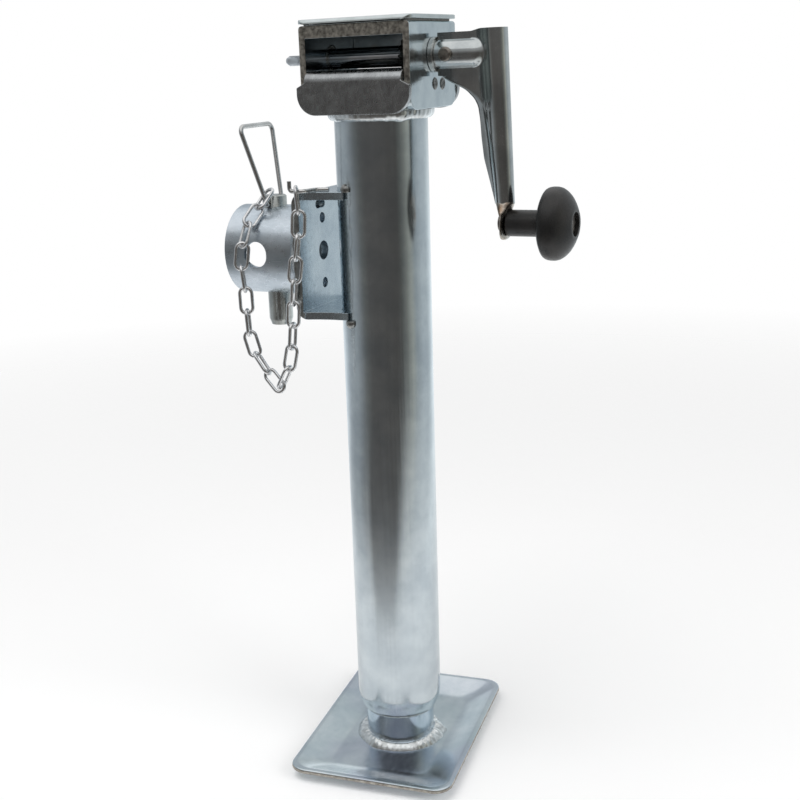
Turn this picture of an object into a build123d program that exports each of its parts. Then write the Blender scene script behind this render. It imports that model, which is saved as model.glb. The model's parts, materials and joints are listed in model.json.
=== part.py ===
"""Side-wind prop stand for a trailer, with a swivel socket mount, in millimetres.

The stand is upright on its foot. +Z is up along the tubes, +X points out along the crank shaft
and -Y faces the side with the open front of the gear head. The origin is the middle of the
foot's underside, on the axis of the tubes.
"""

from build123d import *
from math import acos, atan2, cos, degrees, pi, radians, sin, sqrt
import os

# Clearances between pieces that move against each other, and between pieces that only sit close.
running_fit = 0.05
sliding_fit = 0.3
seat_gap = 0.1
side_play = 0.2

# Outer tube and ram
outer_tube_d = 57.0
outer_tube_wall = 3.0
inner_tube_d = 47.0
inner_tube_wall = 3.0
tube_foot_gap = 22.0
outer_tube_length = 422.0
nose_length = 11.0
nose_lip = 1.2
stroke = 250.0

# Foot, a pressed pan that stands a little turned on the ram
foot_width = 111.0
foot_length = 156.0
foot_sheet = 3.0
foot_rise = 6.0
foot_slope_x = 16.0
foot_slope_y = 18.0
foot_corner = 12.0
foot_floor_corner = 8.0
foot_turn = 7.5
foot_weld_leg = 8.0
foot_weld_height = 6.0

# Gear head, two folded channels of the same sheet that close into a box
head_sheet = 4.0
head_width = 71.0
head_depth = 68.0
shelf_top_over_tube = 4.0
front_opening = 18.3
lip_height = 7.2
tab_drop = 25.0
tab_overhang = 1.0
tab_corner = 12.0
tab_chamfer = 5.0
side_drop = 23.5
side_corner = 9.0
top_bend = 2.0
shelf_bend = 2.5
fold_gap = 0.2
pad_thickness = 1.1
pad_inset = 1.5
cover_thickness = 2.4
cover_overhang = 1.4
cover_corner = 6.0
cover_hem = 1.6
cover_screw_d = 5.0
cover_screw_head_d = 9.0
cover_screw_spacing = 44.0
weld_bead = 5.0

# Crank shaft and bevel gears
shaft_d = 12.0
shaft_over_shelf = 6.5
shaft_stub_d = 6.0
shaft_stub_length = 13.0
shaft_left_reach = 14.5
bush_wall = 2.0
bush_flange_d = 21.0
bush_flange = 1.5
gear_module = 2.0
pinion_teeth = 12
gear_teeth = 24
gear_face = 7.0
tooth_play = 0.3
pinion_hub_d = 18.0
gear_hub_d = 28.0
roll_pin_d = 4.0
washer_d = 20.0
washer_thickness = 1.6
cotter_d = 2.4
cotter_eye_d = 4.2

# Screw, nut and thrust bearing
screw_d = 18.0
screw_neck_d = 14.0
screw_collar_d = 26.0
screw_collar = 5.0
screw_below_nut = 12.0
bearing_plate_thickness = 5.0
bearing_d = 29.0
race_thickness = 3.0
ball_d = 5.0
ball_count = 10
nut_length = 20.0
nut_flange = 5.0
nut_top_gap = 8.0
guide_bush_length = 30.0

# Crank handle, two pressed halves round the shaft
crank_radius = 97.0
crank_sheet = 1.9
hub_sleeve_length = 26.0
hub_gap = 3.3
hub_flange_height = 12.0
arm_top_r = 6.9
arm_bottom_r = 5.6
arm_top_x = 74.4
arm_lean = 5.4
arm_rise = 13.3
arm_end_drop = 85.5
gusset_drop = 31.5
rivet_d = 5.0
rivet_head_d = 8.2
rivet_head = 2.2
eye_width = 19.5
eye_thickness = 3.0

# Knob
spindle_d = 7.0
spindle_head_d = 12.0
spindle_head = 2.5
spindle_tail = 4.0
knob_d = 42.7
knob_length = 18.7
knob_neck_d = 15.6
knob_neck_length = 22.6
knob_recess_d = 14.0
knob_recess_depth = 5.0
knob_gap = 0.4

# Swivel bracket and mounting socket
bracket_below_head = 40.5
bracket_sheet = 4.8
bracket_height = 79.0
bracket_width = 62.0
web_from_tube = 15.2
bracket_bend = 8.0
flange_reach = 7.0
flange_tip_share = 0.86
web_hole_d = 12.0
web_side_hole_d = 6.5
web_side_hole_spacing = 41.6
web_slot_length = 12.0
web_slot_width = 5.0
socket_d = 57.0
socket_wall = 3.0
socket_length = 52.6
socket_pin_from_mouth = 22.9
socket_weld = 4.0

# Lock pin, bail and chain
pin_d = 15.8
pin_hole_clearance = 0.2
pin_below_socket = 21.0
pin_head_above_bail = 5.6
pin_tip_chamfer = 4.0
bail_wire_d = 2.9
bail_top_width = 40.0
bail_height = 50.5
bail_lean = 12.4
bail_hole_clearance = 0.25
bail_end_reach = 1.6
chain_wire_d = 2.2
chain_pitch = 14.4
chain_link_width = 10.0
chain_play = 0.45
chain_turn = 28.0
chain_hang = 84.0
hook_wire_d = 2.6

# Worked out from the sizes above
outer_r = outer_tube_d / 2
bore_r = outer_r - outer_tube_wall
ram_r = inner_tube_d / 2
ram_bore_r = ram_r - inner_tube_wall
foot_top = foot_sheet
tube_bottom = foot_top + tube_foot_gap
tube_top = tube_bottom + outer_tube_length
shelf_top = tube_top + shelf_top_over_tube
shaft_z = shelf_top + shaft_over_shelf
housing_top = shelf_top + front_opening + lip_height
wall_out = head_width / 2
wall_in = wall_out - head_sheet
front = -head_depth / 2
rear = head_depth / 2
tab_bottom = shelf_top - tab_drop
side_bottom = shelf_top - side_drop
shaft_r = shaft_d / 2
bracket_top = tab_bottom - weld_bead - bracket_below_head
bracket_low = bracket_top - bracket_height
mount_height = (bracket_top + bracket_low) / 2

os.makedirs("parts", exist_ok=True)


def save(piece, name):
    """Labels a finished piece and writes it under its own name."""
    piece.part.label = name
    export_step(piece.part, f"parts/{name}.step")


# Foot: a flat floor with a sloping rim all round. The whole pan is turned on the tube axis.
foot_plane = Plane(origin=(0, 0, 0), x_dir=(cos(radians(foot_turn)), sin(radians(foot_turn)), 0), z_dir=(0, 0, 1))
floor_width = foot_width - 2 * foot_slope_x
floor_length = foot_length - 2 * foot_slope_y

with BuildPart() as foot_plate:
    with BuildSketch(foot_plane):
        RectangleRounded(floor_width, floor_length, foot_floor_corner)
    with BuildSketch(foot_plane.offset(foot_rise)):
        RectangleRounded(foot_width, foot_length, foot_corner)
    loft()
    with BuildSketch(foot_plane.offset(foot_rise)):
        RectangleRounded(foot_width, foot_length, foot_corner)
    extrude(amount=foot_sheet)
    with BuildSketch(foot_plane.offset(foot_sheet)) as pan_floor:
        RectangleRounded(floor_width, floor_length, foot_floor_corner)
    with BuildSketch(foot_plane.offset(foot_sheet + foot_rise)) as pan_rim:
        RectangleRounded(foot_width, foot_length, foot_corner)
    loft(sections=[pan_floor.sketch, pan_rim.sketch], mode=Mode.SUBTRACT)
save(foot_plate, "foot_plate")

# Weld bead between foot and ram, a full fillet with a rounded face.
with BuildPart() as foot_weld:
    with BuildSketch(Plane.XZ):
        with BuildLine():
            Line((ram_r, foot_top), (ram_r + foot_weld_leg, foot_top))
            ThreePointArc(
                (ram_r + foot_weld_leg, foot_top),
                (ram_r + 0.62 * foot_weld_leg, foot_top + 0.62 * foot_weld_height),
                (ram_r, foot_top + foot_weld_height),
            )
            Line((ram_r, foot_top + foot_weld_height), (ram_r, foot_top))
        make_face()
    revolve(axis=Axis.Z)
save(foot_weld, "foot_weld")

# Ram: the inner tube. Its top end carries the nut and stands just below the screw's collar.
gear_pitch_r = gear_module * gear_teeth / 2
pinion_pitch_r = gear_module * pinion_teeth / 2
gear_bottom = shaft_z - pinion_pitch_r - gear_face
plate_top = gear_bottom - sliding_fit
plate_bottom = plate_top - bearing_plate_thickness
upper_race_bottom = plate_bottom - race_thickness
lower_race_top = upper_race_bottom - ball_d - 2 * running_fit
lower_race_bottom = lower_race_top - race_thickness
collar_bottom = lower_race_bottom - screw_collar
nut_top = collar_bottom - nut_top_gap
ram_top = nut_top - nut_flange
nut_bottom = ram_top - nut_length

with BuildPart() as inner_tube:
    with BuildSketch(Plane.XY.offset(foot_top)):
        Circle(ram_r)
        Circle(ram_bore_r, mode=Mode.SUBTRACT)
    extrude(amount=ram_top - foot_top)
save(inner_tube, "inner_tube")

# Nut: a plug in the ram's top end with a flange that guides the ram in the outer tube.
with BuildPart() as screw_nut:
    with BuildSketch(Plane.XY.offset(nut_bottom)):
        Circle(ram_bore_r - seat_gap)
    extrude(amount=nut_length)
    with BuildSketch(Plane.XY.offset(ram_top)):
        Circle(bore_r - sliding_fit)
    extrude(amount=nut_flange)
    with BuildSketch(Plane.XY.offset(nut_bottom)):
        Circle(screw_d / 2 + running_fit)
    extrude(amount=nut_length + nut_flange, mode=Mode.SUBTRACT)
save(screw_nut, "screw_nut")

# Outer tube: its lower end is rolled in to a thin lip that runs on the ram.
nose_top = tube_bottom + nose_length
lip_r = ram_r + sliding_fit
with BuildPart() as outer_tube:
    with BuildSketch(Plane.XZ):
        with BuildLine():
            Line((bore_r, tube_top), (outer_r, tube_top))
            Line((outer_r, tube_top), (outer_r, nose_top))
            TangentArc((outer_r, nose_top), (lip_r + nose_lip, tube_bottom), tangent=(0, -1))
            Line((lip_r + nose_lip, tube_bottom), (lip_r, tube_bottom))
            Line((lip_r, tube_bottom), (lip_r, tube_bottom + 0.3 * nose_length))
            Line((lip_r, tube_bottom + 0.3 * nose_length), (bore_r, nose_top))
            Line((bore_r, nose_top), (bore_r, tube_top))
        make_face()
    revolve(axis=Axis.Z)
save(outer_tube, "outer_tube")

# Lower guide bush, pressed into the outer tube just above the rolled nose.
with BuildPart() as guide_bush:
    with BuildSketch(Plane.XY.offset(nose_top + sliding_fit)):
        Circle(bore_r - seat_gap)
        Circle(ram_r + seat_gap, mode=Mode.SUBTRACT)
    extrude(amount=guide_bush_length)
save(guide_bush, "guide_bush")

# Saddle: a channel turned over the tube. Its shelf lies on the tube's end between the side
# walls, and its front and rear tabs hang down outside them.
shelf_half = wall_in - fold_gap
tab_half = wall_out + tab_overhang
tab_face = front - head_sheet
bend_out = head_sheet + shelf_bend
bend_low = shelf_top - bend_out
gear_well_r = bore_r
pinion_tip_r = gear_module * (pinion_teeth / 2 + 0.9 * cos(atan2(pinion_teeth, gear_teeth)))

with BuildPart() as saddle_plate:
    with BuildSketch(Plane.YZ.offset(-shelf_half)):
        with BuildLine():
            Polyline(
                (rear + head_sheet, bend_low - tab_chamfer),
                (rear + head_sheet, bend_low),
            )
            RadiusArc((rear + head_sheet, bend_low), (rear - shelf_bend, shelf_top), -bend_out)
            Line((rear - shelf_bend, shelf_top), (front + shelf_bend, shelf_top))
            RadiusArc((front + shelf_bend, shelf_top), (tab_face, bend_low), -bend_out)
            Polyline(
                (tab_face, bend_low),
                (tab_face, bend_low - tab_chamfer),
                (front, bend_low - tab_chamfer),
                (front, bend_low),
            )
            RadiusArc((front, bend_low), (front + shelf_bend, tube_top), shelf_bend)
            Line((front + shelf_bend, tube_top), (rear - shelf_bend, tube_top))
            RadiusArc((rear - shelf_bend, tube_top), (rear, bend_low), shelf_bend)
            Polyline(
                (rear, bend_low),
                (rear, bend_low - tab_chamfer),
                (rear + head_sheet, bend_low - tab_chamfer),
            )
        make_face()
    extrude(amount=2 * shelf_half)
    for tab_y in (tab_face, rear):
        with BuildSketch(Plane.XZ.offset(-tab_y)):
            with BuildLine():
                Polyline(
                    (-shelf_half, bend_low),
                    (-tab_half, bend_low - tab_chamfer / 2),
                    (-tab_half, tab_bottom),
                    (tab_half, tab_bottom),
                    (tab_half, bend_low - tab_chamfer / 2),
                    (shelf_half, bend_low),
                    close=True,
                )
            tab_face_sketch = make_face()
            fillet(tab_face_sketch.vertices().group_by(Axis.Y)[0], tab_corner)
        extrude(amount=-head_sheet)
    # well for the bevel gear, open to the right so that the pinion can turn
    with BuildSketch(Plane.XY.offset(tube_top)):
        Circle(gear_well_r)
        with Locations((shelf_half / 2, 0)):
            Rectangle(shelf_half + 2, 2 * (pinion_tip_r + sliding_fit))
    extrude(amount=head_sheet, mode=Mode.SUBTRACT)
save(saddle_plate, "saddle_plate")

# Housing: a channel with its top wall up, two side walls, a short front lip and a rear wall.
with BuildPart() as gear_housing:
    with BuildSketch(Plane.YZ.offset(-wall_out)) as side_outline:
        with BuildLine():
            Polyline(
                (front, housing_top),
                (rear, housing_top),
                (rear, side_bottom),
                (front, side_bottom),
                close=True,
            )
        side_face = make_face()
        fillet(side_face.vertices().group_by(Axis.Y)[0], side_corner)
    extrude(amount=head_width)
    fillet(gear_housing.edges().filter_by(Axis.Y).group_by(Axis.Z)[-1], top_bend)
    with Locations((0, 0, (side_bottom + housing_top - head_sheet) / 2)):
        Box(
            2 * wall_in,
            head_depth,
            housing_top - head_sheet - side_bottom,
            mode=Mode.SUBTRACT,
        )
    with Locations((0, front + head_sheet / 2, housing_top - lip_height / 2)):
        Box(2 * wall_in, head_sheet, lip_height)
    rear_low = shelf_top + fold_gap
    with Locations((0, rear - head_sheet / 2, (rear_low + housing_top - head_sheet) / 2)):
        Box(2 * wall_in, head_sheet, housing_top - head_sheet - rear_low)
    # holes for the two shaft bushes
    with Locations(Location((0, 0, shaft_z), (0, 90, 0))):
        Cylinder(shaft_r + bush_wall + running_fit, head_width + 2, mode=Mode.SUBTRACT)
    # tapped holes for the cover screws
    with Locations((-cover_screw_spacing / 2, 0, housing_top), (cover_screw_spacing / 2, 0, housing_top)):
        Hole(cover_screw_d / 2 + running_fit, depth=head_sheet)
save(gear_housing, "gear_housing")

# Cover with its thin packing and two flush screws. The hem closes the front edge.
pad_top = housing_top + pad_thickness
cover_top = pad_top + cover_thickness
cover_half_x = wall_out + cover_overhang
cover_front = front - cover_overhang
screw_places = [(-cover_screw_spacing / 2, 0), (cover_screw_spacing / 2, 0)]

with BuildPart() as cover_pad:
    with BuildSketch(Plane.XY.offset(housing_top)):
        RectangleRounded(head_width - 2 * pad_inset, head_depth - 2 * pad_inset, cover_corner - pad_inset)
        with Locations(*screw_places):
            Circle(cover_screw_d / 2 + running_fit, mode=Mode.SUBTRACT)
    extrude(amount=pad_thickness)
save(cover_pad, "cover_pad")

with BuildPart() as top_cover:
    with BuildSketch(Plane.XY.offset(pad_top)):
        RectangleRounded(2 * cover_half_x, head_depth + 2 * cover_overhang, cover_corner)
    extrude(amount=cover_thickness)
    with Locations((0, cover_front + cover_hem / 2, pad_top - pad_thickness / 2)):
        Box(2 * (cover_half_x - cover_corner), cover_hem, pad_thickness)
    top_edges = top_cover.faces().sort_by(Axis.Z)[-1].edges()
    fillet(top_edges, cover_thickness / 3)
    with Locations(*[(x, y, cover_top) for x, y in screw_places]):
        CounterSinkHole(cover_screw_d / 2 + running_fit, cover_screw_head_d / 2 + running_fit)
save(top_cover, "top_cover")

with BuildPart() as cover_screws:
    for place in screw_places:
        head_depth_z = (cover_screw_head_d - cover_screw_d) / 2
        with BuildSketch(Plane.XZ):
            with BuildLine():
                Polyline(
                    (0, cover_top - 0.05),
                    (cover_screw_head_d / 2 - 0.05, cover_top - 0.05),
                    (cover_screw_d / 2, cover_top - head_depth_z - 0.05),
                    (cover_screw_d / 2, housing_top - head_sheet - 1),
                    (0, housing_top - head_sheet - 1),
                    close=True,
                )
            make_face()
        screw_solid = revolve(axis=Axis.Z, mode=Mode.PRIVATE)
        add(screw_solid.moved(Location((place[0], place[1], 0))))
save(cover_screws, "cover_screws")

# Weld that joins the tube to the channels: a ring bead under the tabs and side walls.
head_weld_r = -front - sliding_fit
with BuildPart() as head_weld:
    with BuildSketch(Plane.XZ):
        with BuildLine():
            Polyline((outer_r, tab_bottom - weld_bead), (outer_r, tab_bottom + 2), (head_weld_r, tab_bottom + 2))
            ThreePointArc(
                (head_weld_r, tab_bottom + 2),
                (head_weld_r - 0.8, tab_bottom - 0.45 * weld_bead),
                (outer_r, tab_bottom - weld_bead),
            )
        make_face()
    revolve(axis=Axis.Z)
    # it stops at the inner faces of the side walls
    with Locations((0, 0, tab_bottom)):
        Box(2 * (wall_in - fold_gap), 4 * outer_r, 4 * weld_bead, mode=Mode.INTERSECT)
save(head_weld, "head_weld")


# Shaft bushes. Both have their flange on the left of their wall, so the right one's is inside.
def make_bush(wall_left, name):
    """A flanged bush in the side wall whose left face is at wall_left, with its running bore."""
    with BuildPart() as bush:
        with BuildSketch(Plane.YZ.offset(wall_left)):
            with Locations((0, shaft_z)):
                Circle(shaft_r + bush_wall)
                Circle(shaft_r + running_fit, mode=Mode.SUBTRACT)
        extrude(amount=head_sheet)
        with BuildSketch(Plane.YZ.offset(wall_left - bush_flange)):
            with Locations((0, shaft_z)):
                Circle(bush_flange_d / 2)
                Circle(shaft_r + running_fit, mode=Mode.SUBTRACT)
        extrude(amount=bush_flange)
    save(bush, name)


make_bush(wall_in, "right_bush")
make_bush(-wall_out, "left_bush")

# Crank shaft: plain through the head and the crank's hub, with a thin stub beyond the left wall.
hub_start = wall_out + hub_gap
hub_end = hub_start + hub_sleeve_length
shaft_left = -wall_out - shaft_left_reach
shaft_right = hub_end - 1.0
with BuildPart() as crank_shaft:
    with BuildSketch(Plane.XZ):
        with BuildLine():
            Polyline(
                (shaft_left - shaft_stub_length, shaft_z),
                (shaft_left - shaft_stub_length, shaft_z + shaft_stub_d / 2 - 1.2),
                (shaft_left - shaft_stub_length + 2.0, shaft_z + shaft_stub_d / 2),
                (shaft_left, shaft_z + shaft_stub_d / 2),
                (shaft_left + 1.0, shaft_z + shaft_r),
                (shaft_right - 1.0, shaft_z + shaft_r),
                (shaft_right, shaft_z + shaft_r - 1.0),
                (shaft_right, shaft_z),
                close=True,
            )
        make_face()
    revolve(axis=Axis((0, 0, shaft_z), (1, 0, 0)))
    # cross holes for the cotter, the pinion's pin and the handle's rivet
    washer_left = -wall_out - bush_flange - side_play - washer_thickness
    cotter_x = washer_left - side_play - cotter_eye_d / 2
    pinion_pin_x = gear_pitch_r + 3.2
    rivet_x = hub_start + 7.6
    with Locations(Location((cotter_x, 0, shaft_z))):
        Cylinder(cotter_d / 2 + running_fit, shaft_d + 2, mode=Mode.SUBTRACT)
    with Locations(Location((pinion_pin_x, 0, shaft_z))):
        Cylinder(roll_pin_d / 2 + running_fit, shaft_d + 2, mode=Mode.SUBTRACT)
    with Locations(Location((rivet_x, 0, shaft_z), (90, 0, 0))):
        Cylinder(rivet_d / 2 + running_fit, shaft_d + 2, mode=Mode.SUBTRACT)
save(crank_shaft, "crank_shaft")


# Washers on the shaft outside both walls, and the cotter that holds the left one.
def make_washer(x_from, thickness, name):
    """A flat washer on the crank shaft, from x_from towards +X."""
    with BuildPart() as washer:
        with BuildSketch(Plane.YZ.offset(x_from)):
            with Locations((0, shaft_z)):
                Circle(washer_d / 2)
                Circle(shaft_r + running_fit, mode=Mode.SUBTRACT)
        extrude(amount=thickness)
    save(washer, name)


make_washer(wall_out + side_play, hub_gap - 2 * side_play, "right_washer")
make_washer(washer_left, washer_thickness, "left_washer")

with BuildPart() as shaft_cotter:
    with Locations((cotter_x, 0, shaft_z)):
        Cylinder(cotter_d / 2, shaft_d + 6)
    with Locations((cotter_x, 0, shaft_z + shaft_r + 3)):
        Sphere(cotter_eye_d / 2)
save(shaft_cotter, "shaft_cotter")


# Bevel gears. Both are cut from cones that share one apex where the shaft and screw axes cross.
def bevel_gear(teeth, mate_teeth, hub_r, hub_drop, bore_r_gear, half_tooth):
    """A straight bevel gear on +Z with its apex at the origin and its teeth pointing up to it.

    The pitch cone has the angle whose tangent is teeth over mate_teeth. The gear is a blank of
    stacked cones with one trapezoid gap cut for each tooth, each gap narrowing to the apex.
    """
    pitch_r = gear_module * teeth / 2
    pitch_z = -gear_module * mate_teeth / 2
    cone_length = sqrt(pitch_r**2 + pitch_z**2)
    cone_angle = atan2(teeth, mate_teeth)
    inner = 1 - gear_face / cone_length
    tip = (gear_module * 0.9 * cos(cone_angle), gear_module * 0.9 * sin(cone_angle))
    root = (gear_module * 1.15 * cos(cone_angle), gear_module * 1.15 * sin(cone_angle))
    tip_r, tip_z = pitch_r + tip[0], pitch_z + tip[1]
    root_r, root_z = pitch_r - root[0], pitch_z - root[1]
    with BuildPart() as gear:
        with BuildSketch(Plane.XZ):
            with BuildLine():
                Polyline(
                    (bore_r_gear, inner * tip_z),
                    (inner * tip_r, inner * tip_z),
                    (tip_r, tip_z),
                    (root_r - 0.6, root_z - 1.0),
                    (hub_r, root_z - 1.0),
                    (hub_r, pitch_z - hub_drop),
                    (bore_r_gear, pitch_z - hub_drop),
                    close=True,
                )
            make_face()
        revolve(axis=Axis.Z)
        # one gap: a wedge from the apex out past the back cone, cut all round
        gap_scale = 1.25
        gap_half = pi * gear_module / 4 + tooth_play / 2
        outer = 1.12 * gap_scale
        tall = gear_module * 1.9
        root_point = Vector(root_r, 0, root_z)
        normal = Vector(cos(cone_angle), 0, sin(cone_angle))
        along = Vector(root_r, 0, root_z).normalized()
        for_far = root_point * outer
        gap_plane = Plane(origin=for_far, x_dir=(0, 1, 0), z_dir=along)
        up = 1 if gap_plane.y_dir.dot(normal) > 0 else -1
        narrow, wide = 0.55 * gap_half * outer, 1.75 * gap_half * outer
        with BuildSketch(gap_plane) as gap_outer:
            with BuildLine():
                Polyline(
                    (-narrow, 0),
                    (narrow, 0),
                    (wide, up * tall * outer * 1.25),
                    (-wide, up * tall * outer * 1.25),
                    close=True,
                )
            make_face()
        near = inner * 0.8 / outer
        gap_plane_near = Plane(origin=for_far * near, x_dir=(0, 1, 0), z_dir=along)
        with BuildSketch(gap_plane_near) as gap_inner:
            with BuildLine():
                Polyline(
                    (-narrow * near, 0),
                    (narrow * near, 0),
                    (wide * near, up * tall * outer * 1.25 * near),
                    (-wide * near, up * tall * outer * 1.25 * near),
                    close=True,
                )
            make_face()
        gap = loft(sections=[gap_inner.sketch, gap_outer.sketch], mode=Mode.PRIVATE)
        step = 360 / teeth
        first = step / 2 if half_tooth else 0
        add([gap.rotate(Axis.Z, first + k * step) for k in range(teeth)], mode=Mode.SUBTRACT)
    return gear.part


gear_body = bevel_gear(
    gear_teeth, pinion_teeth, gear_hub_d / 2, gear_face, screw_neck_d / 2 + running_fit, False
).moved(Location((0, 0, shaft_z)))
with BuildPart() as driven_gear:
    add(gear_body)
    with Locations(Location((0, 0, gear_bottom + roll_pin_d), (90, 0, 0))):
        Cylinder(roll_pin_d / 2 + running_fit, gear_hub_d + 2, mode=Mode.SUBTRACT)
save(driven_gear, "driven_gear")

pinion_hub_length = wall_in - bush_flange - sliding_fit - gear_pitch_r
pinion_body = bevel_gear(
    pinion_teeth, gear_teeth, pinion_hub_d / 2, pinion_hub_length, shaft_r + running_fit, True
)
pinion_body = pinion_body.rotate(Axis.Y, -90).moved(Location((0, 0, shaft_z)))
with BuildPart() as drive_pinion:
    add(pinion_body)
    with Locations(Location((pinion_pin_x, 0, shaft_z))):
        Cylinder(roll_pin_d / 2 + running_fit, pinion_hub_d + 2, mode=Mode.SUBTRACT)
save(drive_pinion, "drive_pinion")

with BuildPart() as pinion_pin:
    with Locations((pinion_pin_x, 0, shaft_z)):
        Cylinder(roll_pin_d / 2, pinion_hub_d - 1)
save(pinion_pin, "pinion_pin")

with BuildPart() as gear_pin:
    with Locations(Location((0, 0, gear_bottom + roll_pin_d), (90, 0, 0))):
        Cylinder(roll_pin_d / 2, gear_hub_d - 1)
save(gear_pin, "gear_pin")

# Screw: thread stands as a plain rod of its outside diameter, with a collar and a neck above.
screw_bottom = nut_bottom - stroke - screw_below_nut
neck_top = shaft_z - shaft_r - 2.0
with BuildPart() as lead_screw:
    with BuildSketch(Plane.XZ):
        with BuildLine():
            Polyline(
                (0, screw_bottom),
                (screw_d / 2 - 2, screw_bottom),
                (screw_d / 2, screw_bottom + 2),
                (screw_d / 2, collar_bottom),
                (screw_collar_d / 2, collar_bottom),
                (screw_collar_d / 2, lower_race_bottom),
                (screw_neck_d / 2, lower_race_bottom),
                (screw_neck_d / 2, neck_top),
                (0, neck_top),
                close=True,
            )
        make_face()
    revolve(axis=Axis.Z)
    with Locations(Location((0, 0, gear_bottom + roll_pin_d), (90, 0, 0))):
        Cylinder(roll_pin_d / 2 + running_fit, screw_neck_d + 2, mode=Mode.SUBTRACT)
save(lead_screw, "lead_screw")


# Thrust bearing between the screw's collar and a plate fixed in the top of the outer tube.
def make_ring(z_from, thickness, r_out, r_in, name):
    """A plain ring on the tube axis."""
    with BuildPart() as ring:
        with BuildSketch(Plane.XY.offset(z_from)):
            Circle(r_out)
            Circle(r_in, mode=Mode.SUBTRACT)
        extrude(amount=thickness)
    save(ring, name)


neck_bore = screw_neck_d / 2 + running_fit
make_ring(plate_bottom, bearing_plate_thickness, bore_r - running_fit, neck_bore, "bearing_plate")
make_ring(upper_race_bottom, race_thickness, bearing_d / 2, neck_bore, "upper_race")
make_ring(lower_race_bottom, race_thickness, bearing_d / 2, neck_bore, "lower_race")

ball_ring_r = (bearing_d / 2 + neck_bore) / 2
with BuildPart() as bearing_balls:
    with Locations((0, 0, lower_race_top + running_fit + ball_d / 2)):
        with PolarLocations(ball_ring_r, ball_count):
            Sphere(ball_d / 2)
save(bearing_balls, "bearing_balls")

# Crank handle: front half and its mirror image. Each is flat sheet with a round half-sleeve over
# the shaft and a tapering half-round rib down the arm.
sleeve_r = shaft_r + running_fit + crank_sheet
arm_top = shaft_z + arm_rise
arm_end = shaft_z - arm_end_drop
arm_bottom_x = arm_top_x + arm_lean
flange_top = shaft_z + hub_flange_height
rib_left_top = arm_top_x - arm_top_r
seam = 0.02


def handle_half():
    """The front half of the handle, on the -Y side of its seam."""
    with BuildPart() as half:
        with BuildSketch(Plane.XZ.offset(seam)):
            with BuildLine():
                Polyline(
                    (hub_start, flange_top),
                    (hub_end - 5, flange_top),
                    (hub_end - 4, arm_top - 0.8),
                    (arm_top_x + arm_top_r, arm_top),
                    (arm_bottom_x + arm_bottom_r, arm_end),
                    (arm_bottom_x - arm_bottom_r, arm_end),
                    (rib_left_top, shaft_z - 2 * gusset_drop),
                    (hub_end, shaft_z - gusset_drop),
                    (hub_end - 2, shaft_z - gusset_drop + 6),
                    (hub_start + 19, shaft_z - 20),
                    (hub_start + 5, shaft_z - 13.5),
                    (hub_start, shaft_z - 8.5),
                    close=True,
                )
            make_face()
        extrude(amount=crank_sheet)
        with Locations(Location((hub_start, -seam, shaft_z), (0, 90, 0))):
            Cylinder(
                sleeve_r,
                hub_sleeve_length + 6,
                align=(Align.CENTER, Align.CENTER, Align.MIN),
            )
        with BuildSketch(Plane.XY.offset(arm_top)) as rib_top:
            with Locations((arm_top_x, -seam)):
                Circle(arm_top_r)
        with BuildSketch(Plane.XY.offset(arm_end)) as rib_end:
            with Locations((arm_bottom_x, -seam)):
                Circle(arm_bottom_r)
        loft(sections=[rib_end.sketch, rib_top.sketch])
        # hollow the rib and the sleeve to sheet thickness, then keep the front side only
        with BuildSketch(Plane.XY.offset(arm_top)) as core_top:
            with Locations((arm_top_x, -seam)):
                Circle(arm_top_r - crank_sheet)
        with BuildSketch(Plane.XY.offset(arm_end)) as core_end:
            with Locations((arm_bottom_x, -seam)):
                Circle(arm_bottom_r - crank_sheet)
        loft(sections=[core_end.sketch, core_top.sketch], mode=Mode.SUBTRACT)
        with Locations(Location((hub_start, 0, shaft_z), (0, 90, 0))):
            Cylinder(
                shaft_r + running_fit,
                hub_sleeve_length + 6,
                align=(Align.CENTER, Align.CENTER, Align.MIN),
                mode=Mode.SUBTRACT,
            )
        with Locations(Location((rivet_x, 0, shaft_z), (90, 0, 0))):
            Cylinder(rivet_d / 2 + running_fit, 4 * sleeve_r, mode=Mode.SUBTRACT)
        split(bisect_by=Plane.XZ.offset(seam), keep=Keep.TOP)
    return half.part


front_half = handle_half()
with BuildPart() as crank_arm_front:
    add(front_half)
save(crank_arm_front, "crank_arm_front")

with BuildPart() as crank_arm_rear:
    add(mirror(front_half, about=Plane.XZ, mode=Mode.PRIVATE))
save(crank_arm_rear, "crank_arm_rear")

# Cross rivet through hub and shaft, with a domed head on each side.
with BuildPart() as crank_rivet:
    with Locations(Location((rivet_x, 0, shaft_z), (90, 0, 0))):
        Cylinder(rivet_d / 2, 2 * sleeve_r + 1)
    for side in (-1, 1):
        with BuildSketch(Plane(origin=(rivet_x, side * (sleeve_r + 0.1), shaft_z), z_dir=(0, side, 0))):
            Circle(rivet_head_d / 2)
        extrude(amount=rivet_head)
    fillet(
        [
            crank_rivet.faces().sort_by(Axis.Y)[0].edges().sort_by(SortBy.LENGTH)[-1],
            crank_rivet.faces().sort_by(Axis.Y)[-1].edges().sort_by(SortBy.LENGTH)[-1],
        ],
        0.7 * rivet_head,
    )
save(crank_rivet, "crank_rivet")

# Eye plate closing the lower end of the arm, square to the knob's spindle.
knob_z = shaft_z - crank_radius
eye_left = arm_bottom_x - eye_thickness / 2
eye_right = eye_left + eye_thickness
with BuildPart() as arm_eye:
    with BuildSketch(Plane.YZ.offset(eye_left)):
        with Locations((0, knob_z)):
            Circle(eye_width / 2)
        with Locations((0, (knob_z + arm_end) / 2)):
            Rectangle(2 * (arm_bottom_r - crank_sheet), arm_end - knob_z)
        with Locations((0, knob_z)):
            Circle(spindle_d / 2 + running_fit, mode=Mode.SUBTRACT)
    extrude(amount=eye_thickness)
save(arm_eye, "arm_eye")

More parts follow.
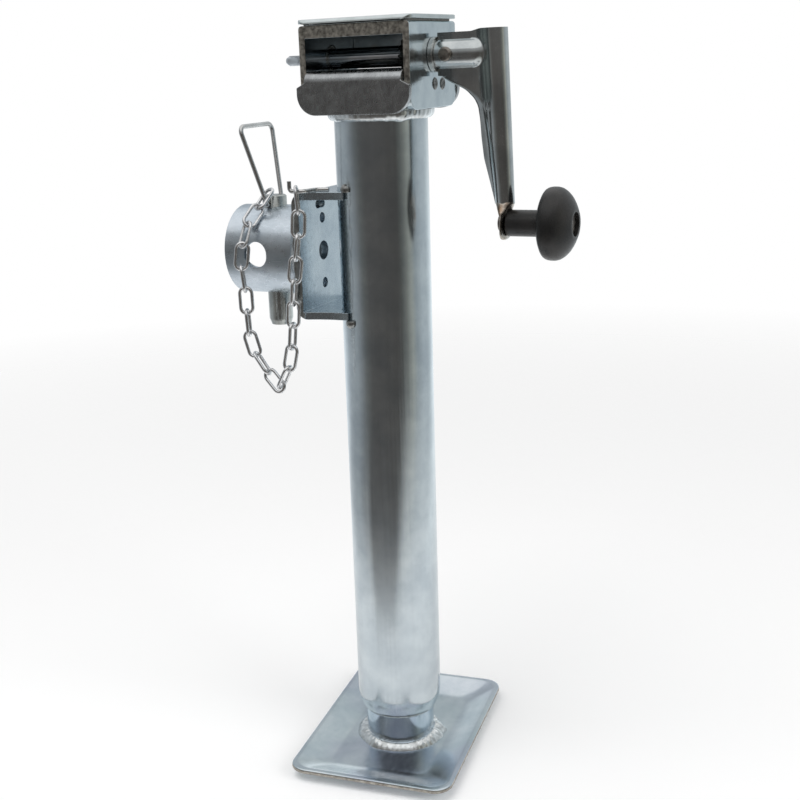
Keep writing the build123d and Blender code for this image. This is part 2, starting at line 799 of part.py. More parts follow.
# Spindle: riveted over on the left of the eye, headed inside the knob's end recess.
neck_start = eye_right + knob_gap
body_start = neck_start + knob_neck_length
knob_end = body_start + knob_length
recess_floor = knob_end - knob_recess_depth
with BuildPart() as knob_spindle:
    with BuildSketch(Plane.YZ.offset(eye_left - spindle_tail)):
        with Locations((0, knob_z)):
            Circle(spindle_head_d / 2 - 1)
    extrude(amount=spindle_tail - 0.02)
    with BuildSketch(Plane.YZ.offset(eye_left - spindle_tail)):
        with Locations((0, knob_z)):
            Circle(spindle_d / 2)
    extrude(amount=recess_floor + knob_gap + 0.5 - eye_left + spindle_tail)
    with BuildSketch(Plane.YZ.offset(recess_floor + knob_gap)):
        with Locations((0, knob_z)):
            Circle(spindle_head_d / 2)
    extrude(amount=spindle_head)
save(knob_spindle, "knob_spindle")

# Knob: a mushroom on a neck, turned about the spindle.
knob_r = knob_d / 2
with BuildPart() as knob_grip:
    with BuildSketch(Plane.XZ):
        with BuildLine():
            Polyline(
                (neck_start, knob_z + spindle_d / 2 + sliding_fit / 2),
                (neck_start, knob_z + knob_neck_d / 2 - 0.8),
                (neck_start + 0.8, knob_z + knob_neck_d / 2),
                (body_start, knob_z + knob_neck_d / 2),
                (body_start + 0.3, knob_z + 0.84 * knob_r),
            )
            Spline(
                (body_start + 0.3, knob_z + 0.84 * knob_r),
                (body_start + 0.11 * knob_length, knob_z + 0.96 * knob_r),
                (body_start + 0.32 * knob_length, knob_z + knob_r),
                (body_start + 0.58 * knob_length, knob_z + 0.93 * knob_r),
                (body_start + 0.82 * knob_length, knob_z + 0.70 * knob_r),
                (knob_end, knob_z + knob_recess_d / 2 + 0.6),
            )
            Polyline(
                (knob_end, knob_z + knob_recess_d / 2 + 0.6),
                (knob_end, knob_z + knob_recess_d / 2),
                (recess_floor, knob_z + knob_recess_d / 2),
                (recess_floor, knob_z + spindle_d / 2 + sliding_fit / 2),
                (neck_start, knob_z + spindle_d / 2 + sliding_fit / 2),
            )
        make_face()
    revolve(axis=Axis((0, 0, knob_z), (1, 0, 0)))
save(knob_grip, "knob_grip")

# Swivel bracket: a channel with its web square to the socket and its flanges notched to the tube.
web_in = -outer_r - web_from_tube
web_out = web_in - bracket_sheet
bracket_half = bracket_width / 2
flange_tip = -outer_r + 2 * flange_reach
tip_half = flange_tip_share * bracket_half

with BuildPart() as swivel_bracket:
    with BuildSketch(Plane.XZ.offset(-bracket_half)):
        with BuildLine():
            Polyline(
                (flange_tip, bracket_top),
                (web_out, bracket_top),
                (web_out, bracket_low),
                (flange_tip, bracket_low),
                (flange_tip, bracket_low + bracket_sheet),
                (web_in, bracket_low + bracket_sheet),
                (web_in, bracket_top - bracket_sheet),
                (flange_tip, bracket_top - bracket_sheet),
                close=True,
            )
        channel = make_face()
        fillet(channel.vertices().filter_by(lambda v: abs(v.X - web_out) < 0.01), bracket_bend)
        fillet(channel.vertices().filter_by(lambda v: abs(v.X - web_in) < 0.01), bracket_bend - bracket_sheet)
    extrude(amount=bracket_width)
    # flanges narrow towards the tube in a long curve, and a notch follows the tube
    with BuildSketch(Plane.XY.offset(bracket_low - 1)) as flange_outline:
        with BuildLine():
            Polyline(
                (web_out - 1, bracket_half),
                (web_out - 1, -bracket_half),
                (web_in + 1, -bracket_half),
            )
            RadiusArc((web_in + 1, -bracket_half), (flange_tip, -tip_half), 60)
            Line((flange_tip, -tip_half), (flange_tip, tip_half))
            RadiusArc((flange_tip, tip_half), (web_in + 1, bracket_half), 60)
            Line((web_in + 1, bracket_half), (web_out - 1, bracket_half))
        make_face()
    extrude(amount=bracket_height + 2, mode=Mode.INTERSECT)
    with Locations((0, 0, mount_height)):
        Cylinder(outer_r + seat_gap, bracket_height + 2, mode=Mode.SUBTRACT)
    # pierced web: one large hole on the socket's axis, two small ones and a slot above them
    with BuildSketch(Plane.YZ.offset(web_out - 1)):
        with Locations((0, mount_height)):
            Circle(web_hole_d / 2)
        with Locations((0, mount_height - web_side_hole_spacing / 2), (0, mount_height + web_side_hole_spacing / 2)):
            Circle(web_side_hole_d / 2)
        with Locations((-2, bracket_top - bracket_sheet - web_slot_width)):
            SlotOverall(web_slot_length, web_slot_width)
    extrude(amount=bracket_sheet + 2, mode=Mode.SUBTRACT)
save(swivel_bracket, "swivel_bracket")

# Weld beads, short runs at the ends of both flanges where they meet the tube.
bead_angle = degrees(acos(-flange_tip / outer_r))
with BuildPart() as bracket_welds:
    for bead_z in (bracket_top, bracket_low):
        up = 1 if bead_z > mount_height else -1
        for side in (-1, 1):
            angle = radians(180 - side * (bead_angle + 4))
            along_z = bead_z + up * (1.5 + 0.1)
            with Locations((outer_r * cos(angle), outer_r * sin(angle), along_z)):
                Sphere(3.4)
    with Locations((0, 0, mount_height)):
        Cylinder(outer_r + 0.02, bracket_height + 30, mode=Mode.SUBTRACT)
        Box(4 * outer_r, 4 * outer_r, bracket_height + 0.04, mode=Mode.SUBTRACT)
save(bracket_welds, "bracket_welds")

# Socket: a short pipe square on the web, with four pin holes round it, a quarter turn apart.
socket_r = socket_d / 2
socket_bore_r = socket_r - socket_wall
mouth = web_out - socket_length
pin_x = mouth + socket_pin_from_mouth
pin_r = pin_d / 2
pin_hole_r = pin_r + pin_hole_clearance
with BuildPart() as mount_socket:
    with BuildSketch(Plane.YZ.offset(mouth)):
        with Locations((0, mount_height)):
            Circle(socket_r)
            Circle(socket_bore_r, mode=Mode.SUBTRACT)
    extrude(amount=socket_length)
    with Locations((pin_x, 0, mount_height)):
        Cylinder(pin_hole_r, socket_d + 2, mode=Mode.SUBTRACT)
    with Locations(Location((pin_x, 0, mount_height), (90, 0, 0))):
        Cylinder(pin_hole_r, socket_d + 2, mode=Mode.SUBTRACT)
save(mount_socket, "mount_socket")

# Fillet weld between socket and web, inside the corner so that the outside stays clean.
with BuildPart() as socket_bead:
    with BuildSketch(Plane.XY.offset(mount_height)):
        with BuildLine():
            Polyline(
                (web_out, socket_r),
                (web_out, socket_r + socket_weld),
                (web_out - socket_weld, socket_r),
                close=True,
            )
        make_face()
    revolve(axis=Axis((0, 0, mount_height), (1, 0, 0)))
    # the bracket's web is only as wide as the bracket and as tall as its bends allow
    with Locations((web_out - socket_weld / 2, 0, mount_height)):
        Box(socket_weld + 2, bracket_width, bracket_height - 2 * bracket_bend, mode=Mode.INTERSECT)
save(socket_bead, "socket_bead")

# Lock pin, upright through the socket. Its bail hangs in a cross hole under the head, and the
# ends of the bail rest on the socket, which keeps the pin from falling through.
wire_r = bail_wire_d / 2
bail_end_y = pin_r + bail_end_reach
bail_z = mount_height + sqrt(socket_r**2 - (bail_end_y - wire_r) ** 2) + wire_r + sliding_fit
pin_top = bail_z + pin_head_above_bail
pin_bottom = mount_height - socket_r - pin_below_socket
with BuildPart() as lock_pin:
    with BuildSketch(Plane.XZ):
        with BuildLine():
            Polyline(
                (pin_x, pin_bottom),
                (pin_x + pin_r - 1.4, pin_bottom),
                (pin_x + pin_r, pin_bottom + pin_tip_chamfer),
                (pin_x + pin_r, pin_top - 0.8),
                (pin_x + pin_r - 0.8, pin_top),
                (pin_x, pin_top),
                close=True,
            )
        make_face()
    revolve(axis=Axis((pin_x, 0, 0), (0, 0, 1)))
    with Locations(Location((pin_x, 0, bail_z), (90, 0, 0))):
        Cylinder(wire_r + bail_hole_clearance, pin_d + 2, mode=Mode.SUBTRACT)
save(lock_pin, "lock_pin")

# Bail: one bent wire. Its ends turn inwards into the pin, and it leans away from the bracket.
lean = Vector(-sin(radians(bail_lean)), 0, cos(radians(bail_lean)))
bail_foot = Vector(pin_x, 0, bail_z)
bail_head = bail_foot + lean * bail_height
bail_half = bail_top_width / 2
with BuildPart() as pin_bail:
    with BuildLine() as bail_line:
        FilletPolyline(
            bail_foot + Vector(0, -(pin_r - 3.0), 0),
            bail_foot + Vector(0, -bail_end_y, 0),
            bail_head + Vector(0, -bail_half, 0),
            bail_head + Vector(0, bail_half, 0),
            bail_foot + Vector(0, bail_end_y, 0),
            bail_foot + Vector(0, pin_r - 3.0, 0),
            radius=[1.5, 4.0, 4.0, 1.5],
        )
    with BuildSketch(Plane(origin=bail_line.line @ 0, z_dir=bail_line.line % 0)):
        Circle(wire_r)
    sweep(path=bail_line.line)
save(pin_bail, "pin_bail")

# Hook: a wire bent over the near edge of the bracket's top flange. The chain's last link hangs on
# the stretch outside the edge, and the upturned end keeps it there.
hook_r = hook_wire_d / 2
hook_x = web_in + 2.5
hook_y = -bracket_half - chain_link_width / 2 - 0.6
hook_level = bracket_top + hook_r + seat_gap
with BuildPart() as chain_hook:
    with BuildLine() as hook_line:
        FilletPolyline(
            (hook_x - 4.5, hook_y, hook_level + 6.0),
            (hook_x - 4.5, hook_y, hook_level),
            (hook_x + 5.0, hook_y, hook_level),
            (hook_x + 8.0, hook_y + 11.0, hook_level),
            (hook_x + 16.0, hook_y + 12.5, hook_level),
            radius=[2.2, 3.0, 4.0],
        )
    with BuildSketch(Plane(origin=hook_line.line @ 0, z_dir=hook_line.line % 0)):
        Circle(hook_r)
    sweep(path=hook_line.line)
save(chain_hook, "chain_hook")


# Chain: welded links between the pin's head and the hook. It runs down over the near side of
# the socket, hangs in a loop and comes up to the hook.
def chain_link():
    """One link along Z, in the XZ plane, made of two straight sides and two half rings."""
    r = chain_wire_d / 2
    bend_r = chain_link_width / 2 - r
    straight = chain_pitch + chain_wire_d - 2 * bend_r
    with BuildPart() as link:
        for side in (-1, 1):
            with Locations((side * bend_r, 0, 0)):
                Cylinder(r, straight)
        for end in (-1, 1):
            with BuildSketch(Plane.XY.offset(end * straight / 2)):
                with Locations((bend_r, 0)):
                    Circle(r)
            revolve(axis=Axis((0, 0, end * straight / 2), (0, 1, 0)), revolution_arc=-end * 180)
    return link.part


# The first link hangs round the bail's near leg, just above the pin, and the next three lie over
# the shoulder of the socket. Each goes on from the joint where the one before it ends.
link_step = chain_pitch - chain_play
one_link = chain_link()
first_joint = Vector(pin_x + 1.0, -pin_r + 0.8, bail_z + 8.8)
shoulder_links = [
    ((-0.21, -0.71, -0.67), (-0.31, -0.61, 0.73)),
    ((-0.20, -0.71, -0.67), (-0.65, 0.61, -0.45)),
    ((-0.07, -0.45, -0.89), (-0.42, -0.80, 0.44)),
    ((-0.10, -0.11, -0.99), (0.50, -0.86, 0.05)),
]
fall_pieces = []
joint = first_joint
for way, face in shoulder_links:
    way = Vector(*way).normalized()
    width_way = way.cross(Vector(*face))
    link_plane = Plane(origin=joint + way * link_step / 2, x_dir=width_way, z_dir=way)
    fall_pieces.append(one_link.moved(link_plane.location))
    joint = joint + way * link_step

# The rest hangs free in a narrow loop. Links seen edge on alternate with links seen face on, and
# the joints are the middles of the edge-on links' end bars, which the other links reach round.
bar_reach = chain_pitch + chain_wire_d
open_reach = chain_pitch - chain_wire_d - chain_play
loop_low = mount_height - chain_hang
hang_start = joint - way * (link_step - open_reach) / 2
with BuildLine() as chain_route:
    Spline(
        hang_start,
        (joint.X + 2.5, joint.Y - 0.3, joint.Z - 28),
        (joint.X + 7.5, joint.Y - 0.6, joint.Z - 56),
        (pin_x + 9.0, joint.Y - 1.2, loop_low + 10),
        (pin_x + 16.5, joint.Y - 2.0, loop_low),
        (pin_x + 24.0, hook_y - 1.0, loop_low + 10),
        (pin_x + 29.0, hook_y, mount_height - 50),
        (pin_x + 34.0, hook_y - 0.5, mount_height - 5),
        (hook_x, hook_y, hook_level - 26),
        (hook_x, hook_y, hook_level + hook_r + chain_wire_d / 2 + sliding_fit + seat_gap),
    )
route = chain_route.edge()
route_points = [route @ (k / 2000) for k in range(2001)]


def walk(reaches):
    """Joints along the route, each at the next straight distance from the one before."""
    joints = [route_points[0]]
    for spot in route_points:
        if len(joints) <= len(reaches) and (spot - joints[-1]).length >= reaches[len(joints) - 1]:
            joints.append(spot)
    return joints


# as many links as the route has room for, with the play that brings the last one to the hook
pairs = int((route.length - bar_reach) / (bar_reach + open_reach))
reach_low = open_reach - 1.5
reach_high = open_reach + chain_play
while reach_high - reach_low > 0.01:
    rest_reach = (reach_low + reach_high) / 2
    joints = walk([bar_reach, rest_reach] * pairs + [bar_reach])
    if len(joints) == 2 * pairs + 2:
        reach_low = rest_reach
    else:
        reach_high = rest_reach
joints = walk([bar_reach, reach_low] * pairs + [bar_reach])


def route_link(k):
    """The link between joint k and the next, every second one turned a quarter."""
    start = joints[k]
    end = joints[k + 1]
    way_on = (end - start).normalized()
    plane = Plane(origin=(start + end) / 2, x_dir=way_on.cross(Vector(0, 1, 0)), z_dir=way_on)
    facing = chain_turn * (2 * (k + 0.5) / len(joints) - 1)
    turned = one_link.rotate(Axis.Z, facing + 90 * ((k + 1) % 2))
    return turned.moved(plane.location)


fall_count = 6
with BuildPart() as chain_fall:
    add(fall_pieces + [route_link(k) for k in range(fall_count)])
save(chain_fall, "chain_fall")

with BuildPart() as chain_loop:
    add([route_link(k) for k in range(fall_count, len(joints) - 1)])
save(chain_loop, "chain_loop")

print("chain route", round(route.length, 1), "mm,", len(joints) - 1, "links, reach", round(reach_low, 2), "of", round(open_reach + chain_play, 2))
print("levels", round(tube_top, 1), round(shaft_z, 1), round(housing_top, 1), round(cover_top, 1))
print("ram top", round(ram_top, 1), "nut", round(nut_bottom, 1), "screw bottom", round(screw_bottom, 1))
print("collar", round(collar_bottom, 1), "gear bottom", round(gear_bottom, 1), "bail", round(bail_z, 2))
print("socket", round(mouth, 1), round(web_out, 1), "pin", round(pin_x, 1), round(pin_bottom, 1), round(pin_top, 1))
print("knob", round(knob_z, 1), round(neck_start, 1), round(knob_end, 1))
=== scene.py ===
"""Side-wind prop stand with a swivel socket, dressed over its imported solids. Metres, +Z up."""
import json
from math import pi, radians

import bmesh
import bpy
import numpy as np
from mathutils import Matrix, Vector

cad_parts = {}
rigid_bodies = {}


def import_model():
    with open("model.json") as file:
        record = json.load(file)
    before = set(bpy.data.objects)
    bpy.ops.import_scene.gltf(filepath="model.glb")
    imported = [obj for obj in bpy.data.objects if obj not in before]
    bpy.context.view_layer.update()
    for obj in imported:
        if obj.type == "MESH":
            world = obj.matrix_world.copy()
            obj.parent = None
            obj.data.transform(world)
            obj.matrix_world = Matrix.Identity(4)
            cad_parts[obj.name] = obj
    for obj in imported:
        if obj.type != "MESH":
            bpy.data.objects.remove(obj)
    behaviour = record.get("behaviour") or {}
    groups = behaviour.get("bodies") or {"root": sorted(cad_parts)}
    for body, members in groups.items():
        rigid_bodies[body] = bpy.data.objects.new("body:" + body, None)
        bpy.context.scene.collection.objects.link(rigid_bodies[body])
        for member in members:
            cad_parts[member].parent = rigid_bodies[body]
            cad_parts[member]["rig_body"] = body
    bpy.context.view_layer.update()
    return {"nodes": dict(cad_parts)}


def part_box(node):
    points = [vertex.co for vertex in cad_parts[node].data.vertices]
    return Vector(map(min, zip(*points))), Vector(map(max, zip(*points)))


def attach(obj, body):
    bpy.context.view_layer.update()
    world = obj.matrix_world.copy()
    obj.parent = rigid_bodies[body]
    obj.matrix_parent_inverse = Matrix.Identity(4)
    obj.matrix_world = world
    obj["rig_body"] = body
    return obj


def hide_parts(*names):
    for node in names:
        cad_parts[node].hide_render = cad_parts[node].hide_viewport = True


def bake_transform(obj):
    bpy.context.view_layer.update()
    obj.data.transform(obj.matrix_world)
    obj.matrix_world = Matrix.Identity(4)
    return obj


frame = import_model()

nodes = frame["nodes"]

# Studio: a pale floor that fades into a white room, and two soft lamps above and beside the stand.
# The camera stands where the photograph was taken from.
camera_data = bpy.data.cameras.new("photograph view")
camera_data.lens = 55.818
camera_data.sensor_width = 36.0
camera_data.shift_x = 0.0639
camera_data.shift_y = 0.0695
camera = bpy.data.objects.new("camera", camera_data)
bpy.context.scene.collection.objects.link(camera)
camera_right = Vector((0.8902, 0.4537, -0.0421))
camera_up = Vector((-0.1017, 0.2880, 0.9522))
camera_back = Vector((0.4441, -0.8434, 0.3025))
camera.matrix_world = Matrix.Translation((0.3384, -0.7037, 0.4557)) @ Matrix(
    (camera_right, camera_up, camera_back)).transposed().to_4x4()
bpy.context.scene.camera = camera
bpy.context.scene.view_settings.view_transform = "Standard"


def joined(tree, node, values=(), links=()):
    """Adds a node to a tree, sets its plain values by socket name, and links sockets to it."""
    made = tree.nodes.new(node)
    for name, value in values:
        if hasattr(made, name):
            setattr(made, name, value)
        else:
            made.inputs[name].default_value = value
    for name, source in links:
        tree.links.new(source, made.inputs[name])
    return made


def seen_rays(tree):
    """One for rays from the camera, off gloss and through glass, and nothing for the others."""
    path = joined(tree, "ShaderNodeLightPath")
    first = joined(tree, "ShaderNodeMath", [("operation", "MAXIMUM")])
    both = joined(tree, "ShaderNodeMath", [("operation", "MAXIMUM")], [(0, first.outputs[0])])
    tree.links.new(path.outputs["Is Camera Ray"], first.inputs[0])
    tree.links.new(path.outputs["Is Glossy Ray"], first.inputs[1])
    tree.links.new(path.outputs["Is Transmission Ray"], both.inputs[1])
    return both.outputs[0]


room = bpy.data.worlds.new("white room")
room.use_nodes = True
tree = room.node_tree
tree.nodes.clear()
room_light = joined(tree, "ShaderNodeBackground", [("Color", (1.0, 1.0, 1.0, 1.0)), ("Strength", 0.55)])
room_white = joined(tree, "ShaderNodeBackground", [("Color", (1.0, 1.0, 1.0, 1.0)), ("Strength", 1.0)])
choice = joined(tree, "ShaderNodeMixShader", (),
                [(0, seen_rays(tree)), (1, room_light.outputs[0]), (2, room_white.outputs[0])])
joined(tree, "ShaderNodeOutputWorld", (), [("Surface", choice.outputs[0])])
bpy.context.scene.world = room


def linked(name, mesh):
    """A new object at the origin with this mesh, in the scene."""
    piece = bpy.data.objects.new(name, mesh)
    bpy.context.scene.collection.objects.link(piece)
    return piece


def smooth_faces(mesh, sharp):
    """Smooth shading, with edges left sharp where two faces meet at more than this angle."""
    mesh.polygons.foreach_set("use_smooth", np.ones(len(mesh.polygons), bool))
    mesh.set_sharp_from_angle(angle=radians(sharp))


def surface(name, grid, around=True, along=False, poles=False, lids=False, sharp=40):
    """A surface through a grid of points in millimetres, indexed by row and column.

    Each face joins two neighbours in a row to the same two in the next row. around closes the
    columns, along closes the rows, poles closes the first and last row on its middle point, and
    lids closes them by joining each point to the one as far from the row's other end.
    """
    rows, columns = grid.shape[:2]
    index = np.arange(rows * columns).reshape(rows, columns)
    upper = index if along else index[:-1]
    lower = np.roll(index, -1, 0) if along else index[1:]
    a, b = (upper, np.roll(upper, -1, 1)) if around else (upper[:, :-1], upper[:, 1:])
    d, c = (lower, np.roll(lower, -1, 1)) if around else (lower[:, :-1], lower[:, 1:])
    faces = np.stack([a, b, c, d], -1).reshape(-1, 4).tolist()
    points = grid.reshape(-1, 3)
    if poles:
        points = np.vstack([points, grid[0].mean(0), grid[-1].mean(0)])
        for row, pole in ((index[0], rows * columns), (index[-1], rows * columns + 1)):
            faces += np.stack([row, np.roll(row, -1), np.full(columns, pole)], -1).tolist()
    if lids:
        half = np.arange(columns // 2 - 1)
        for row in (index[0], index[-1]):
            faces += np.stack([row[half], row[half + 1], row[-2 - half], row[-1 - half]], -1).tolist()
    mesh = bpy.data.meshes.new(name)
    mesh.from_pydata((points * 0.001).tolist(), [], faces)
    work = bmesh.new()
    work.from_mesh(mesh)
    bmesh.ops.remove_doubles(work, verts=work.verts, dist=1e-7)
    bmesh.ops.recalc_face_normals(work, faces=work.faces)
    work.to_mesh(mesh)
    work.free()
    smooth_faces(mesh, sharp)
    return linked(name, mesh)


floor_turn = np.linspace(0, 2 * pi, 96, endpoint=False)
floor_reach = np.array([0.0, 500.0, 1500.0, 6000.0])[:, None]
# The floor lies a little under the foot, so that no two faces share a place.
floor_level = -0.4
floor = surface("floor", np.stack([
    floor_reach * np.cos(floor_turn), floor_reach * np.sin(floor_turn),
    floor_level + 0.0 * floor_reach * floor_turn], -1))
floor_paper = bpy.data.materials.new("white paper")
floor_paper.use_nodes = True
tree = floor_paper.node_tree
tree.nodes.clear()
place = joined(tree, "ShaderNodeTexCoord")
reach = joined(tree, "ShaderNodeVectorMath", [("operation", "LENGTH")], [(0, place.outputs["Object"])])
fade = joined(tree, "ShaderNodeMapRange", [("From Min", 0.5), ("From Max", 1.6)],
              [("Value", reach.outputs["Value"])])
paper = joined(tree, "ShaderNodeBsdfDiffuse", [("Color", (0.97, 0.97, 0.97, 1.0))])
clear = joined(tree, "ShaderNodeBsdfTransparent")
view_path = joined(tree, "ShaderNodeLightPath")
whiter = joined(tree, "ShaderNodeMath", [("operation", "MULTIPLY")],
                [(0, view_path.outputs["Is Camera Ray"])])
extra_white = 0.06
whiter.inputs[1].default_value = extra_white
lit_paper = joined(tree, "ShaderNodeEmission", (), [("Strength", whiter.outputs[0])])
both_papers = joined(tree, "ShaderNodeAddShader", (), [(0, paper.outputs[0]), (1, lit_paper.outputs[0])])
sheet_end = joined(tree, "ShaderNodeMixShader", (),
                   [(0, fade.outputs[0]), (1, both_papers.outputs[0]), (2, clear.outputs[0])])
joined(tree, "ShaderNodeOutputMaterial", (), [("Surface", sheet_end.outputs[0])])
floor.data.materials.append(floor_paper)


def lamp(name, power, size, place, target):
    """A square area lamp at place that shines towards target, in metres. Gloss shows the room instead."""
    data = bpy.data.lights.new(name, "AREA")
    data.energy = power
    data.size = size
    light = bpy.data.objects.new(name, data)
    light.visible_glossy = False
    bpy.context.scene.collection.objects.link(light)
    aim = Vector(target) - Vector(place)
    light.matrix_world = Matrix.Translation(place) @ aim.to_track_quat("-Z", "Y").to_matrix().to_4x4()


lamp("lamp over the stand", 16.0, 1.4, (-0.4, -0.5, 1.9), (0.0, 0.0, 0.2))
lamp("lamp at the right", 8.0, 1.0, (1.5, -0.3, 1.0), (0.0, 0.0, 0.25))


# Surround: a dull wall round the table, dark where the camera stands, that bends into the floor.
# Its dark part runs towards the stand in a point. Only gloss sees it, as the metal's reflections.
wall_turn = np.radians(np.linspace(-180, 178, 180))
on_floor = 0.002
flat_reaches = (0.13, 0.2, 0.26, 0.29, 0.33, 0.38, 0.45, 0.55, 0.7, 0.85)
wall_path = np.array([(reach, on_floor) for reach in flat_reaches] +
                     [(1.0, 0.01), (1.1, 0.06), (1.17, 0.16)] +
                     [(1.2, height) for height in (0.3, 0.42, 0.6, 0.9, 1.3)])
reach, height = wall_path[:, :1], wall_path[:, 1:]
facing = wall_turn + np.arctan2(camera_back.y, camera_back.x)
# The dark part narrows towards the stand, and at the height of the head it is wider on the left.
narrow = np.interp(reach, [0.17, 0.26, 0.31, 0.5], [0.25, 0.55, 0.7, 1.0])
middle = np.interp(reach, [0.26, 0.5, 0.95], [-32, -27, -6])
side_on = np.clip(-6 + (np.degrees(wall_turn) - middle) / narrow, -180, 180)
side_on = np.where(side_on < 0, side_on * np.interp(height, [0.1, 0.42], [1.0, 0.8]), side_on)
# Red, green and blue brightness by the angle from the camera, in degrees, left to right.
tone_turns = [-180, -142, -88, -72, -60, -46, 30, 38, 50, 64, 76, 100, 150, 180]
glow = np.stack([np.interp(side_on, tone_turns, tone) for tone in (
    [0.56, 0.50, 0.49, 0.32, 0.19, 0.112, 0.090, 0.12, 0.23, 0.44, 0.38, 0.56, 0.62, 0.58],
    [0.59, 0.53, 0.52, 0.33, 0.19, 0.104, 0.082, 0.12, 0.23, 0.44, 0.41, 0.60, 0.66, 0.61],
    [0.60, 0.56, 0.54, 0.34, 0.18, 0.099, 0.076, 0.11, 0.21, 0.39, 0.42, 0.62, 0.68, 0.62])], -1)
in_dark = np.interp(side_on, [-66, -46, 32, 50], [0, 1, 1, 0])
lift = np.interp(height, [0.5, 1.0], [0, 1]) * in_dark
behind = np.interp(np.abs(side_on), [120, 150], [0, 1])
left = np.interp(side_on, [-140, -100, -60, -50], [0, 1, 1, 0])
low_left = np.interp(height, [0.0, 0.35, 0.45], [0.76, 0.8, 1.0])
low_behind = np.interp(height, [0.0, 0.2, 0.42, 0.7, 1.0, 1.3], [1.7, 1.6, 1.0, 0.9, 1.0, 1.2])
upper_tone = 0.45
glow = glow * (1 + (low_left - 1) * left)[..., None]
glow = glow + (upper_tone - glow) * lift[..., None]
glow = glow * (1 + (low_behind - 1) * behind)[..., None]
# How much of the wall hides the white room behind it: little near the stand, all of it far off.
cover = np.interp(reach, [0.13, 0.31, 0.5, 0.95], [0.0, 0.2, 0.55, 1.0])
cover = cover + (1 - cover) * np.maximum(in_dark * np.interp(reach, [0.2, 0.31, 0.5], [0.0, 0.62, 0.95]),
                                         left * np.interp(reach, [0.31, 0.5], [0.0, 0.7]))
surround = surface("surround", 1000 * np.stack([
    reach * np.cos(facing), reach * np.sin(facing), height + 0 * facing], -1))
shine = surround.data.color_attributes.new("glow", "FLOAT_COLOR", "POINT")
shine.data.foreach_set("color", np.concatenate([glow, cover[..., None]], -1).ravel())
surround_paint = bpy.data.materials.new("dull wall")
surround_paint.use_nodes = True
tree = surround_paint.node_tree
tree.nodes.clear()
shade = joined(tree, "ShaderNodeAttribute", [("attribute_name", "glow")])
lit = joined(tree, "ShaderNodeEmission", (), [("Color", shade.outputs["Color"])])
bare = joined(tree, "ShaderNodeBsdfTransparent")
wall = joined(tree, "ShaderNodeMixShader", (),
              [(0, shade.outputs["Alpha"]), (1, bare.outputs[0]), (2, lit.outputs[0])])
joined(tree, "ShaderNodeOutputMaterial", (), [("Surface", wall.outputs[0])])
surround.data.materials.append(surround_paint)
surround.visible_camera = False
surround.visible_diffuse = False
surround.visible_shadow = False
surround.visible_transmission = False


# Zinc plating: most pieces are dipped in bright zinc, which lies as a thin mottled film with a
# blue cast, drawn lines from rolling, and fine grain. The pieces differ in grain and direction.
def zinc(name, light, dark, cloud, grain, stretch, rough, relief, stain=None, stain_share=0.0):
    """A plated metal whose colour wanders between two tones.

    cloud is the size of the mottling and grain that of the drawn lines, as waves in a metre, and
    stretch multiplies each axis first, so a small share draws the lines out along that axis.
    relief is the depth of the lines, and rough is about the middle of the roughness.
    stain is a third colour in large patches, and stain_share is how strong it gets there.
    """
    metal = bpy.data.materials.new(name)
    metal.use_nodes = True
    tree = metal.node_tree
    shader = tree.nodes["Principled BSDF"]
    shader.inputs["Metallic"].default_value = 1.0
    place = joined(tree, "ShaderNodeTexCoord")
    mottle = joined(tree, "ShaderNodeTexNoise", [("Scale", cloud), ("Detail", 5.0), ("Roughness", 0.6)],
                    [("Vector", place.outputs["Object"])])
    tones = joined(tree, "ShaderNodeMapRange", [("From Min", 0.36), ("From Max", 0.64)],
                   [("Value", mottle.outputs["Fac"])])
    drawn = joined(tree, "ShaderNodeMapping", [("Scale", stretch)], [("Vector", place.outputs["Object"])])
    lines = joined(tree, "ShaderNodeTexNoise", [("Scale", grain), ("Detail", 3.0), ("Roughness", 0.55)],
                   [("Vector", drawn.outputs[0])])
    colour = joined(tree, "ShaderNodeMix", [("data_type", "RGBA")])
    colour.inputs[6].default_value = (*light, 1.0)
    colour.inputs[7].default_value = (*dark, 1.0)
    tree.links.new(tones.outputs[0], colour.inputs[0])
    last = colour.outputs[2]
    if stain:
        patch = joined(tree, "ShaderNodeTexNoise", [("Scale", cloud * 0.45), ("Detail", 2.0)],
                       [("Vector", place.outputs["Object"])])
        amount = joined(tree, "ShaderNodeMapRange",
                        [("From Min", 0.5), ("From Max", 0.72), ("To Max", stain_share)],
                        [("Value", patch.outputs["Fac"])])
        stained = joined(tree, "ShaderNodeMix", [("data_type", "RGBA")])
        stained.inputs[7].default_value = (*stain, 1.0)
        tree.links.new(amount.outputs[0], stained.inputs[0])
        tree.links.new(last, stained.inputs[6])
        last = stained.outputs[2]
    tree.links.new(last, shader.inputs["Base Color"])
    dull = joined(tree, "ShaderNodeMapRange",
                  [("From Min", 0.3), ("From Max", 0.7), ("To Min", rough * 0.75), ("To Max", rough * 1.3)],
                  [("Value", lines.outputs["Fac"])])
    tree.links.new(dull.outputs[0], shader.inputs["Roughness"])
    bump = joined(tree, "ShaderNodeBump", [("Strength", 1.0), ("Distance", relief)],
                  [("Height", lines.outputs["Fac"])])
    tree.links.new(bump.outputs[0], shader.inputs["Normal"])
    return metal


# Ram and foot: the inner tube stands in the middle of a pressed pan and is welded to it by one
# bead all round. All three are plated after welding, so the film runs over the joint.
ram_zinc = zinc("ram zinc", (0.66, 0.73, 0.79), (0.52, 0.60, 0.68),
                55, 900, (1, 1, 0.02), 0.13, 0.00001)
pan_zinc = zinc("pan zinc", (0.66, 0.72, 0.75), (0.50, 0.58, 0.62),
                26, 260, (1, 0.3, 1), 0.20, 0.000012,
                (0.50, 0.47, 0.62), 0.5)
weld_zinc = zinc("weld zinc", (0.80, 0.83, 0.84), (0.54, 0.56, 0.56),
                 240, 420, (1, 1, 1), 0.20, 0.00008)


